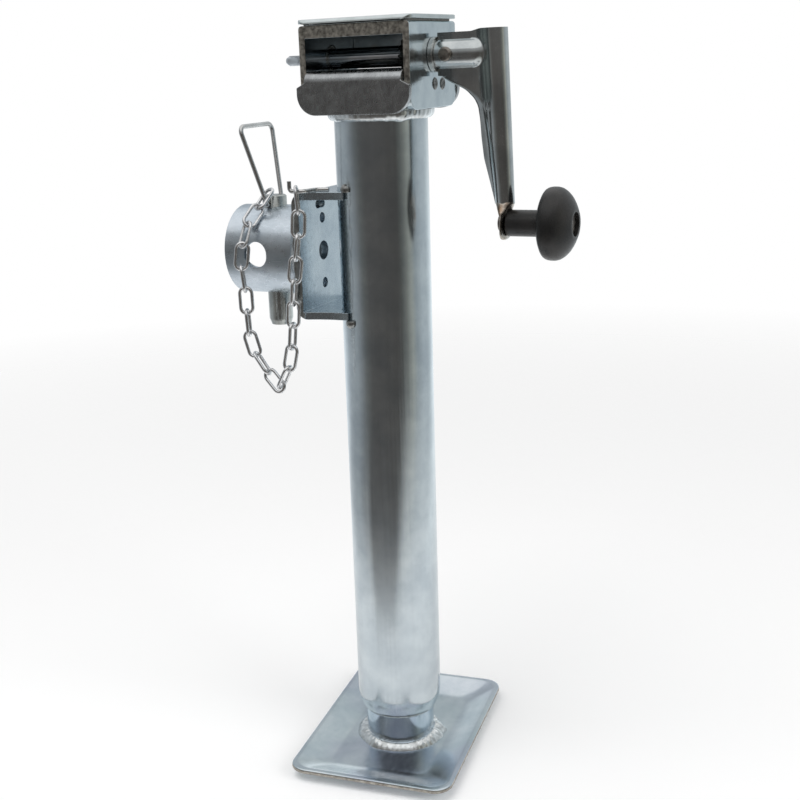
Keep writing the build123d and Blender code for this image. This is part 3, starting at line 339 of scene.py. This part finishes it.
def turned(name, profile, centre=(0, 0, 0), on_x=False, sharp=30, count=160):
    """A closed outline of radius and height, in millimetres, carried once round an axis.

    A point at radius r and height h goes to r cos t, r sin t, h, for t all the way round. With
    on_x the axis lies along X instead, and the height is measured along it.
    """
    turn = np.linspace(0, 2 * pi, count, endpoint=False)
    radius, height = profile[:, 0][:, None], profile[:, 1][:, None]
    ring = np.stack([radius * np.cos(turn), radius * np.sin(turn), height + 0 * turn], -1)
    if on_x:
        ring = ring[..., [2, 0, 1]]
    return surface(name, ring + np.array(centre), along=True, sharp=sharp)


def rounded(corners, radii, steps=6):
    """A closed outline whose corners are arcs of these radii.

    Each arc starts and ends at radius over the tangent of half the corner from it. Between, the
    two spokes from the arc's middle are mixed by the sines of the angle still to go and gone.
    """
    corner = np.array(corners, float)
    radius = np.broadcast_to(np.array(radii, float), len(corner))[:, None]
    back = np.roll(corner, 1, 0) - corner
    ahead = np.roll(corner, -1, 0) - corner
    back /= np.linalg.norm(back, axis=1)[:, None]
    ahead /= np.linalg.norm(ahead, axis=1)[:, None]
    half = np.arccos(np.clip((back * ahead).sum(1), -0.999999, 0.999999))[:, None] / 2
    between = back + ahead
    middle = corner + between / np.linalg.norm(between, axis=1)[:, None] * radius / np.sin(half)
    spoke_in = corner + back * radius / np.tan(half) - middle
    spoke_out = corner + ahead * radius / np.tan(half) - middle
    part = np.linspace(0, 1, steps)[None, :, None]
    sweep = (pi - 2 * half)[:, None]
    arc = np.sin((1 - part) * sweep) * spoke_in[:, None] + np.sin(part * sweep) * spoke_out[:, None]
    return (middle[:, None] + arc / np.sin(sweep)).reshape(-1, 2)


def fit(piece, node, material):
    """Gives a piece its material, makes it stand for a node and ride on that node's body."""
    piece.data.materials.clear()
    piece.data.materials.append(material)
    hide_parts(node)
    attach(piece, nodes[node]["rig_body"])
    return piece


ram_low, ram_high = (corner[2] * 1000 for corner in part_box("inner_tube"))
ram_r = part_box("inner_tube")[1][0] * 1000
ram_bore_r = ram_r - 3
ram = turned("ram_tube", rounded([(ram_r, ram_low), (ram_r, ram_high), (ram_bore_r, ram_high),
                                  (ram_bore_r, ram_low)], [0.2, 0.5, 0.5, 0.2]))
fit(ram, "inner_tube", ram_zinc)

pan_turn = radians(7.5)
pan_half = np.array([55.5, 78.0])


def pan_ring(inset, corner, height, runs=14, arcs=13):
    """One ring of the pan: a rectangle with round corners, drawn in from the rim by inset.

    Each corner is a quarter arc about its own middle, and the straight runs between corners are
    divided evenly, so that the points of all rings face each other.
    """
    half_x, half_y = pan_half[0] - inset, pan_half[1] - inset * 1.125
    quarter = np.linspace(0, pi / 2, arcs)
    points = []
    for k, (way_x, way_y) in enumerate(((1, 1), (-1, 1), (-1, -1), (1, -1))):
        angle = quarter + k * pi / 2
        points.append(np.stack([way_x * (half_x - corner) + corner * np.cos(angle),
                                way_y * (half_y - corner) + corner * np.sin(angle)], -1))
    part = np.linspace(0, 1, runs + 2)[1:-1, None]
    ring = []
    for k in range(4):
        following = points[(k + 1) % 4][0]
        ring += [points[k], points[k][-1] * (1 - part) + following * part]
    flat = np.vstack(ring)
    turned_x = flat[:, 0] * np.cos(pan_turn) - flat[:, 1] * np.sin(pan_turn)
    turned_y = flat[:, 0] * np.sin(pan_turn) + flat[:, 1] * np.cos(pan_turn)
    return np.stack([turned_x, turned_y, np.full(len(flat), float(height))], -1)


lip_inset, floor_inset = 3.2, 22.0
lip_top, pan_depth = 9.0, 6.0


def pressed_height(inset):
    """Height of the pan's top: level at the lip, a slope, then the level floor.

    The fall is three parts 1 - (1 - s) to the 1.35, which starts steep, and one part of the S curve
    s s (3 - 2 s), with s the share of the way from the lip to the floor.
    """
    share = np.clip((inset - lip_inset) / (floor_inset - lip_inset), 0, 1)
    return lip_top - pan_depth * (0.75 * (1 - (1 - share) ** 1.35) + 0.25 * share * share * (3 - 2 * share))


top_insets = np.concatenate([[0.0, 0.15, 0.5, 1.0], np.linspace(1.8, 23.0, 34), [26.0, 32.0, 40.0, 48.0]])
top_corner = np.interp(top_insets, [0, 2, 16, 30, 48], [12, 11.5, 8, 6, 3])
edge_drop = np.array([1.1, 0.55, 0.15, 0.03] + [0.0] * (len(top_insets) - 4))
pan_sheet = 3.0
top_rings = [pan_ring(inset, corner, pressed_height(inset) - drop)
             for inset, corner, drop in zip(top_insets, top_corner, edge_drop)]
low_rings = [pan_ring(inset, corner, max(pressed_height(inset + 1.2) - pan_sheet, 0.0) + drop)
             for inset, corner, drop in zip(top_insets[::-1], top_corner[::-1], edge_drop[::-1] * 0.6)]
pan = surface("foot_pan", np.array(top_rings[::-1] + low_rings[::-1]), poles=True, sharp=60)
fit(pan, "foot_plate", pan_zinc)
# The sheared edge of the pan is bare and brownish, on the faces that look sideways at the rim.
rim_steel = zinc("bare rim", (0.52, 0.49, 0.44), (0.26, 0.24, 0.21), 300, 500, (1, 1, 1), 0.36, 0.0001)
pan.data.materials.append(rim_steel)
facing_up = np.empty(3 * len(pan.data.polygons))
pan.data.polygons.foreach_get("normal", facing_up)
middles = np.empty(3 * len(pan.data.polygons))
pan.data.polygons.foreach_get("center", middles)
slope_top = 0.0055
pan.data.polygons.foreach_set("material_index", (
    (np.abs(facing_up[2::3]) < 0.55) & (middles[2::3] > slope_top)).astype(np.int32))


def bead(name, radius, level, out, up, ripples, lump_turn, seed, hollow=0.9):
    """A hand-laid fillet bead round the tube axis, in millimetres.

    Its section runs from the tube to the plate: over a quarter turn it reaches out with the sine
    and comes down with the cosine to the power hollow, which draws the section in above 1.
    Its width and height swell and shrink with the ripples of the torch, a slow wander, and a
    lump where the bead ends.
    """
    chance = np.random.default_rng(seed)
    count, sunk = 420, 0.6
    turn = np.linspace(0, 2 * pi, count, endpoint=False)
    wander = sum(chance.normal(0, 0.05 / k ** 0.5) * np.sin(k * turn + chance.uniform(0, 2 * pi))
                 for k in range(2, 15))
    ripple = 0.03 * np.abs(np.sin(ripples * turn / 2))
    off = np.angle(np.exp(1j * (turn - lump_turn)))
    lump = 0.30 * np.exp(-(off / 0.16) ** 2) + 0.16 * np.exp(-((off + 0.33) / 0.1) ** 2)
    swell = 0.93 + wander + ripple + lump
    part = np.linspace(0, 1, 15)
    reach_out = out * np.sin(part * pi / 2) ** 0.9
    reach_up = up * np.cos(part * pi / 2) ** hollow
    r = radius + reach_out[:, None] * swell
    z = level + reach_up[:, None] * (1 + (swell - 1) * 0.8)
    under = np.full((1, count), radius - sunk)
    below = np.full((1, count), level - np.sign(up) * 0.4)
    r = np.vstack([under, r, under])
    z = np.vstack([np.full((1, count), level + up), z[:-1], below, below])
    return surface(name, np.stack([r * np.cos(turn), r * np.sin(turn), z], -1), along=True, sharp=80)


foot_bead = bead("foot_weld_bead", ram_r, pan_sheet, 7.4, 4.8, 46, radians(22), 5, 1.9)
fit(foot_bead, "foot_weld", weld_zinc)

# Outer tube: drawn round tube with its lower end rolled in to run on the ram. The film is bright
# and blue with long fine lines from drawing.
tube_zinc = zinc("tube zinc", (0.62, 0.68, 0.71), (0.50, 0.56, 0.60),
                 45, 700, (1, 1, 0.012), 0.17, 0.000012)
tube_low, tube_high = (corner[2] * 1000 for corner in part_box("outer_tube"))
outer_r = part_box("outer_tube")[1][0] * 1000
tube_bore_r = outer_r - 3
lip_r = ram_r + 0.3
climb = np.linspace(0, 1, 16)
# The nose's radius is less than the tube's by a part that falls with the square of the way up.
nose = np.stack([outer_r - (outer_r - lip_r - 1.0) * (1 - climb) ** 2, tube_low + 0.7 + 12.8 * climb], -1)
outline = np.vstack([
    [(lip_r + 0.1, tube_low), (lip_r + 0.6, tube_low + 0.15)], nose,
    [(outer_r, z) for z in np.linspace(tube_low + 14, tube_high - 0.5, 30)],
    [(outer_r - 0.4, tube_high), (tube_bore_r, tube_high), (tube_bore_r, tube_low + 12),
     (lip_r, tube_low + 3.3), (lip_r, tube_low + 0.3)]])
tube = turned("drawn_tube", outline, sharp=50, count=256)
fit(tube, "outer_tube", tube_zinc)


# Gear head: two folded channels of thick sheet that close into a box, with a flat cover on a thin
# packing. The sheared edges stay rough and darker than the rolled faces.
def softened(node, width, sharp=32):
    """A copy of a CAD node with its loose triangles merged and its sharp edges rounded.

    Flat neighbours become one face, then every edge sharper than the angle is rounded to width.
    """
    mesh = nodes[node].data.copy()
    mesh.name = node + "_finished"
    work = bmesh.new()
    work.from_mesh(mesh)
    bmesh.ops.remove_doubles(work, verts=work.verts, dist=2e-6)
    bmesh.ops.dissolve_limit(work, angle_limit=radians(0.4), verts=work.verts, edges=work.edges)
    work.to_mesh(mesh)
    work.free()
    smooth_faces(mesh, sharp)
    piece = linked(node + "_finished", mesh)
    if width:
        edge = piece.modifiers.new("rounded edges", "BEVEL")
        edge.width = width * 0.001
        edge.segments = 3
        edge.limit_method = "ANGLE"
        edge.angle_limit = radians(sharp)
        edge.use_clamp_overlap = False
        edge.miter_outer = "MITER_ARC"
        even = piece.modifiers.new("even faces", "WEIGHTED_NORMAL")
        even.keep_sharp = False
    return piece


def cut_faces(piece, material, way, place, reach=0.3):
    """Gives a copy of a CAD node the look of cut metal on some of its faces.

    These are the faces that look along an axis, given as -Y or the like, and whose middles lie
    within reach of a place on that axis, in millimetres.
    """
    axis = "XYZ".index(way[1])
    count = len(piece.data.polygons)
    normals, middles = np.empty(3 * count), np.empty(3 * count)
    piece.data.polygons.foreach_get("normal", normals)
    piece.data.polygons.foreach_get("center", middles)
    looks = normals[axis::3] * (1 if way[0] == "+" else -1) > 0.95
    there = np.abs(middles[axis::3] * 1000 - place) < reach
    if material.name not in piece.data.materials:
        piece.data.materials.append(material)
    chosen = np.empty(count, np.int32)
    piece.data.polygons.foreach_get("material_index", chosen)
    chosen[looks & there] = piece.data.materials.find(material.name)
    piece.data.polygons.foreach_set("material_index", chosen)


head_zinc = zinc("head zinc", (0.58, 0.65, 0.68), (0.46, 0.53, 0.57), 60, 240, (1, 1, 1), 0.16, 0.00002)
# The shelf's zinc is darker than the head's: partly its rougher finish, partly painted shade for the dark
# that the shelf shows.
shelf_zinc_partly_painted_shade = zinc("shelf zinc partly painted shade", (0.46, 0.48, 0.49), (0.34, 0.35, 0.36),
                150, 620, (1, 1, 0.6), 0.27, 0.000012)
cover_zinc = zinc("cover zinc", (0.62, 0.67, 0.68), (0.52, 0.57, 0.57),
                  70, 300, (0.2, 1, 1), 0.20, 0.00002)
screw_zinc = zinc("small part zinc", (0.60, 0.60, 0.58), (0.40, 0.41, 0.40),
                  300, 900, (1, 1, 1), 0.22, 0.00002)
packing = zinc("grey packing", (0.22, 0.22, 0.21), (0.16, 0.16, 0.15),
               300, 900, (1, 1, 1), 0.8, 0.00002)
packing.node_tree.nodes["Principled BSDF"].inputs["Metallic"].default_value = 0.0
sheared = zinc("sheared edge", (0.60, 0.57, 0.51), (0.20, 0.19, 0.17),
               420, 620, (1, 1, 0.12), 0.42, 0.0003)
fit(softened("saddle_plate", 0.5), "saddle_plate", shelf_zinc_partly_painted_shade)
housing = softened("gear_housing", 0.4)
fit(housing, "gear_housing", head_zinc)
housing_half_depth = 34.0
cut_faces(housing, sheared, "-Y", -housing_half_depth)
cut_faces(housing, sheared, "+Y", housing_half_depth)
cover = softened("top_cover", 0.2)
cover_front, cover_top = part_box("top_cover")[0][1] * 1000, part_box("top_cover")[1][2] * 1000
roll, cover_sheet = 2.9, 1.3
rolling = bmesh.new()
rolling.from_mesh(cover.data)
for cut in np.linspace(0.15, 2.8, 9):
    bmesh.ops.bisect_plane(rolling, geom=rolling.verts[:] + rolling.edges[:] + rolling.faces[:], dist=1e-7,
                           plane_co=(0, (cover_front + cut) / 1000, 0), plane_no=(0, 1, 0))
rolling.to_mesh(cover.data)
rolling.free()
points = np.empty(3 * len(cover.data.vertices))
cover.data.vertices.foreach_get("co", points)
points = points.reshape(-1, 3)
# The front edge is rolled down in a quarter round of radius r: at d past its start, the top has
# fallen by r less the root of r squared less d squared.
past = np.clip(cover_front + roll - 1000 * points[:, 1], 0, roll)
fallen = (roll - np.sqrt(np.clip(roll ** 2 - past ** 2, 0, None))) / 1000
on_top = points[:, 2] > (cover_top - cover_sheet) / 1000
lowest = (cover_top - 3.0) / 1000
points[:, 2] = np.where(on_top, np.maximum(points[:, 2] - fallen, lowest), points[:, 2])
cover.data.vertices.foreach_set("co", points.ravel())
cover.data.update()
fit(cover, "top_cover", cover_zinc)
fit(softened("cover_screws", 0.15), "cover_screws", screw_zinc)
fit(softened("cover_pad", 0), "cover_pad", packing)

# Two pits with raised rims on the right wall, where the housing was tacked before welding.
# They are turned about X: a low floor, a round rim, and a foot that sinks into the wall.
wall_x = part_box("gear_housing")[1][0] * 1000
# The pits' zinc is painted nearly black: painted shade in the pits and round their rims.
pit_zinc_painted_shade = zinc("pit zinc painted shade", (0.26, 0.26, 0.25), (0.07, 0.07, 0.07), 500, 900, (1, 1, 1), 0.26, 0.0003)
pit_line = np.array([(0, 0.08), (1.2, 0.08), (1.8, 0.22), (2.2, 0.55), (2.7, 0.66),
                     (3.2, 0.45), (3.6, 0.1), (3.9, -0.4), (0, -0.4)])
for name, place_y, place_z in (("wall_pit_front", 1.6, 441.2), ("wall_pit_rear", 13.0, 440.9)):
    pit = turned(name, pit_line, (wall_x, place_y, place_z), on_x=True, sharp=60, count=48)
    pit.data.materials.append(pit_zinc_painted_shade)
    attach(pit, nodes["gear_housing"]["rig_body"])

# Head weld: one thick bead laid by hand all round the tube, under the tabs of the head.
tab_low = 426.0
head_bead = bead("head_weld_bead", outer_r, tab_low + 0.6, 4.3, -5.2, 52, radians(-40), 11)
fit(head_bead, "head_weld", weld_zinc)

# Shaft, bushes and washers: a plain turned shaft in two flanged bronze bushes.
shaft_steel = zinc("turned shaft", (0.62, 0.64, 0.66), (0.50, 0.53, 0.56),
                   90, 1200, (0.05, 1, 1), 0.16, 0.00001)
bush_bronze = zinc("bush bronze", (0.60, 0.60, 0.55), (0.44, 0.44, 0.40),
                   200, 900, (1, 1, 1), 0.24, 0.00002)
fit(softened("crank_shaft", 0), "crank_shaft", shaft_steel)
for node in ("left_bush", "right_bush"):
    fit(softened(node, 0.2), node, bush_bronze)
for node in ("left_washer", "right_washer", "shaft_cotter"):
    fit(softened(node, 0.2), node, screw_zinc)

# Bevel gears: cut steel with a film of dark grease, pinned to the shaft and to the screw.
gear_steel = zinc("greased gear steel", (0.20, 0.20, 0.19), (0.10, 0.10, 0.09),
                  160, 500, (1, 1, 1), 0.35, 0.00003)
for node in ("drive_pinion", "driven_gear"):
    fit(softened(node, 0.15), node, gear_steel)

# Screw, nut and thrust bearing: inside the tubes, plain turned steel and bronze.
bearing_steel = zinc("bearing steel", (0.55, 0.56, 0.57), (0.45, 0.46, 0.48),
                     150, 900, (1, 1, 1), 0.18, 0.00001)
nut_bronze = zinc("nut bronze", (0.52, 0.42, 0.24), (0.40, 0.32, 0.18),
                  120, 600, (1, 1, 0.3), 0.28, 0.00002)
guide_plastic = zinc("guide plastic", (0.55, 0.54, 0.50), (0.48, 0.47, 0.44),
                     80, 700, (1, 1, 1), 0.5, 0.00002)
guide_plastic.node_tree.nodes["Principled BSDF"].inputs["Metallic"].default_value = 0.0
inside = {"lead_screw": bearing_steel, "screw_nut": nut_bronze, "guide_bush": guide_plastic,
          "bearing_plate": bearing_steel, "upper_race": bearing_steel, "lower_race": bearing_steel,
          "bearing_balls": bearing_steel, "gear_pin": bearing_steel, "pinion_pin": bearing_steel}
for node, material in inside.items():
    nodes[node].data.materials.clear()
    nodes[node].data.materials.append(material)

# Crank handle: two halves pressed from sheet and closed on each other. A round sleeve takes the
# shaft, a tapering round rib runs down the arm, and a flat web fills the corner between them.
handle_zinc = zinc("handle zinc", (0.60, 0.63, 0.63), (0.46, 0.49, 0.50),
                   60, 520, (1, 1, 0.05), 0.15, 0.00002)
arm_low, arm_top = (corner[2] * 1000 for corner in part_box("crank_arm_front"))
shaft_z, sleeve_r, sleeve_end = 457.5, 7.95, 61.5
sheet, seam = 1.9, 0.02
hub_left, web_top = 38.8, 469.5
columns = 0.5 - 0.5 * np.cos(np.linspace(0, pi, 110))
levels = np.linspace(arm_low, arm_top, 200)
left_edge = np.interp(levels, [372, 380, 388, 398, 410, 420, 428, 433, 438, 444, 449, 452],
                      [74.0, 72.0, 69.9, 67.2, 65.7, 65.0, 63.8, 61.4, 56.4, 43.8, hub_left, hub_left])
soft = np.convolve(np.pad(left_edge, 3, mode="edge"), np.ones(7) / 7, "valid")
left_edge = np.where(levels < 446, soft, hub_left)[:, None]
rib_x = np.interp(levels, [arm_low, arm_top], [79.8, 74.4])[:, None]
rib_r = np.interp(levels, [arm_low, arm_top], [5.6, 6.9])[:, None]
x = left_edge + (rib_x + rib_r - left_edge) * columns
# The top edge steps up from the web to the rib in an S curve, s s (3 - 2 s).
ramp = np.clip((x - 59.0) / 8.0, 0, 1)
edge_top = web_top + (arm_top - web_top) * ramp * ramp * (3 - 2 * ramp)
z = arm_low + (levels[:, None] - arm_low) * (edge_top - arm_low) / (arm_top - arm_low)
# Sleeve and rib are half rounds over the seam, and the sleeve ends in a dome. The flat web has a
# rolled left edge and rises towards the rib with the exponential of the distance to it.
dome = 1.06 * np.clip(x - sleeve_end, 0, None)
sleeve = np.sqrt(np.clip(sleeve_r ** 2 - (z - shaft_z) ** 2 - dome ** 2, 0, None))
rib = np.sqrt(np.clip(rib_r ** 2 - (x - rib_x) ** 2, 0, None))
past = np.clip((x - rib_x) / rib_r, 0, 1)
edge_roll = np.interp(levels, [405, 430], [8.0, 3.4])[:, None]
edge_in = np.clip((x - left_edge) / edge_roll, 0, 1)
flank = 2.4 * np.exp(-np.clip(rib_x - rib_r - x, 0, None) / 3.2) * (1 - past) * edge_in
flat = sheet * (1 - 0.85 * past * past) * np.sqrt(1 - (1 - edge_in) ** 2 * 0.92) + flank
# The three run into each other softly: the rise is the log of the sum of their exponentials.
bend = 1.1 - 0.65 * past
rise = bend * np.log(np.exp(sleeve / bend) + np.exp(rib / bend) + np.exp(flat / bend))
for side, node, name in ((-1, "crank_arm_front", "crank_handle_front"),
                         (1, "crank_arm_rear", "crank_handle_rear")):
    outer = np.stack([x, side * (seam + rise), z], -1)
    inner = np.stack([x, side * (seam + np.clip(rise - sheet, 0, None)), z], -1)
    half = surface(name, np.concatenate([outer, inner[:, ::-1]], 1), lids=True, sharp=48)
    fit(half, node, handle_zinc)
rivet_zinc = zinc("rivet zinc", (0.40, 0.37, 0.33), (0.20, 0.18, 0.16),
                  260, 700, (1, 1, 1), 0.36, 0.0001)
fit(softened("crank_rivet", 0), "crank_rivet", rivet_zinc)

# Arm end: the closed halves run out in a flat tongue that carries the knob's spindle. The plating
# is burnt brown where the spindle was riveted over.
tongue_zinc = zinc("burnt tongue", (0.66, 0.64, 0.60), (0.42, 0.37, 0.31),
                   240, 500, (1, 1, 1), 0.22, 0.0001,
                   (0.36, 0.23, 0.14), 0.85)
burnt_steel = zinc("burnt spindle steel", (0.26, 0.23, 0.20), (0.13, 0.11, 0.10), 300, 800, (1, 1, 1),
                   0.34, 0.0001)
knob_z, eye_r, tongue_x, tongue_top = 360.5, 9.75, 79.8, 373.0
level = np.concatenate([knob_z - eye_r * np.cos(np.linspace(0.02, pi / 2, 24)),
                        np.linspace(knob_z, tongue_top, 26)[1:]])
# Below the knob's axis the half width is that of a squarish round, whose powers of 3.2 add up to one.
drop = np.clip((knob_z - level) / eye_r, 0, 0.9999)
half_y = np.where(level < knob_z, eye_r * (1 - drop ** 3.2) ** (1 / 3.2),
                  np.interp(level, [knob_z, 363, 367, 370, tongue_top], [eye_r, 9.6, 8.6, 6.9, 5.5]))
half_x = np.interp(level, [350.7, 351.6, 363, 366, 369.5, 372, tongue_top],
                   [1.0, 1.5, 1.5, 2.2, 4.3, 5.5, 5.5])
around = np.linspace(0, 2 * pi, 96, endpoint=False)
dented = np.interp(level, [362, 366, 371], [0, 1, 0])[:, None]
dent = 0.5 * np.sin(around * 5 + level[:, None] * 0.7) * dented
tongue = surface("arm_tongue", np.stack([
    tongue_x + (half_x[:, None] + dent) * np.sign(np.cos(around)) * np.abs(np.cos(around)) ** 0.85,
    half_y[:, None] * np.sign(np.sin(around)) * np.abs(np.sin(around)) ** 0.9,
    level[:, None] + 0 * around], -1), poles=True)
fit(tongue, "arm_eye", tongue_zinc)

# Knob: moulded black plastic, a mushroom on a neck, free to turn on its riveted steel spindle.
knob_black = zinc("black plastic", (0.009, 0.009, 0.009), (0.020, 0.018, 0.017),
                  60, 1600, (1, 1, 1), 0.34, 0.00002)
knob_black.node_tree.nodes["Principled BSDF"].inputs["Metallic"].default_value = 0.0
knob_black.node_tree.nodes["Principled BSDF"].inputs["Specular IOR Level"].default_value = 0.45
# The spindle's riveted end is pressed down almost flush, so its tail stays inside the tongue.
spindle = softened("knob_spindle", 0.4)
pressed_in = 0.0022
points = np.empty(3 * len(spindle.data.vertices))
spindle.data.vertices.foreach_get("co", points)
points[::3] = np.maximum(points[::3], points[::3].min() + pressed_in)
spindle.data.vertices.foreach_set("co", points)
fit(spindle, "knob_spindle", burnt_steel)
start, end = (corner[0] * 1000 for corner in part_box("knob_grip"))
bore_r, neck_length = 3.65, 22.6
body = start + neck_length
part = np.linspace(0, 1, 40)
crown = np.interp(part, [0, 0.015, 0.06, 0.14, 0.26, 0.40, 0.52, 0.64, 0.77, 0.89, 0.97, 1.0],
                  [17.4, 18.7, 20.2, 21.0, 21.35, 21.3, 20.7, 19.3, 16.9, 13.5, 10.4, 8.4])
crown = np.convolve(np.pad(crown, 1, mode="edge"), np.ones(3) / 3, "valid")
knob_line = np.vstack([
    [(bore_r, start), (7.0, start), (7.55, start + 0.25), (7.8, start + 0.8), (7.8, body - 1.2),
     (8.1, body - 0.3), (9.4, body), (15.6, body + 0.05)],
    np.stack([crown, body + 0.2 + part * (end - body - 0.2)], -1),
    [(7.0, end - 0.1), (6.9, end - 0.6), (6.9, end - 5), (bore_r, end - 5)]])
knob = turned("knob", knob_line, (0, 0, knob_z), on_x=True, sharp=50)
fit(knob, "knob_grip", knob_black)

# Swivel bracket and socket: a channel folded from thick sheet, welded to the tube by its flanges,
# and a short pipe welded square on its web. The web is pierced by three holes and a slot.
bracket_zinc = zinc("bracket zinc", (0.56, 0.64, 0.69), (0.44, 0.52, 0.58),
                    48, 300, (1, 1, 1), 0.25, 0.000006)
socket_zinc = zinc("socket zinc", (0.66, 0.72, 0.78), (0.52, 0.59, 0.65),
                   40, 500, (0.4, 1, 1), 0.31, 0.00002)
bracket = softened("swivel_bracket", 0.35)
fit(bracket, "swivel_bracket", bracket_zinc)
bracket_near, bracket_far = (corner[1] * 1000 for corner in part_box("swivel_bracket"))
cut_edge = zinc("cut sheet edge", (0.50, 0.51, 0.50), (0.30, 0.31, 0.30),
                300, 700, (1, 1, 0.2), 0.30, 0.00008)
cut_faces(bracket, cut_edge, "-Y", bracket_near)
cut_faces(bracket, cut_edge, "+Y", bracket_far)
spot_zinc = zinc("weld spot zinc", (0.44, 0.45, 0.44), (0.26, 0.26, 0.25),
                 300, 500, (1, 1, 1), 0.32, 0.0002)
fit(softened("bracket_welds", 0), "bracket_welds", spot_zinc)
fit(softened("mount_socket", 0.3), "mount_socket", socket_zinc)
fit(softened("socket_bead", 0), "socket_bead", weld_zinc)

# Lock pin and bail: a turned pin with a wire loop through its head to pull it by.
pin_zinc = zinc("pin zinc", (0.55, 0.57, 0.55), (0.38, 0.40, 0.39),
                120, 600, (1, 1, 0.1), 0.22, 0.00003)
wire_zinc = zinc("wire zinc", (0.66, 0.66, 0.65), (0.54, 0.54, 0.53),
                 90, 900, (1, 1, 0.2), 0.24, 0.000002)
fit(softened("lock_pin", 0), "lock_pin", pin_zinc)
fit(softened("pin_bail", 0), "pin_bail", wire_zinc)
fit(softened("chain_hook", 0), "chain_hook", wire_zinc)

# Chain: bent wire links from the bail over the socket, down in a loop and up to the hook. The strand at the
# pin is a loose copy, baked in place and on no body.
chain_zinc = zinc("chain zinc", (0.88, 0.88, 0.88), (0.68, 0.68, 0.69),
                  160, 900, (1, 1, 1), 0.21, 0.00001)
fit(softened("chain_loop", 0), "chain_loop", chain_zinc)
fall = softened("chain_fall", 0)
fall.data.materials.clear()
fall.data.materials.append(chain_zinc)
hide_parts("chain_fall")
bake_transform(fall)
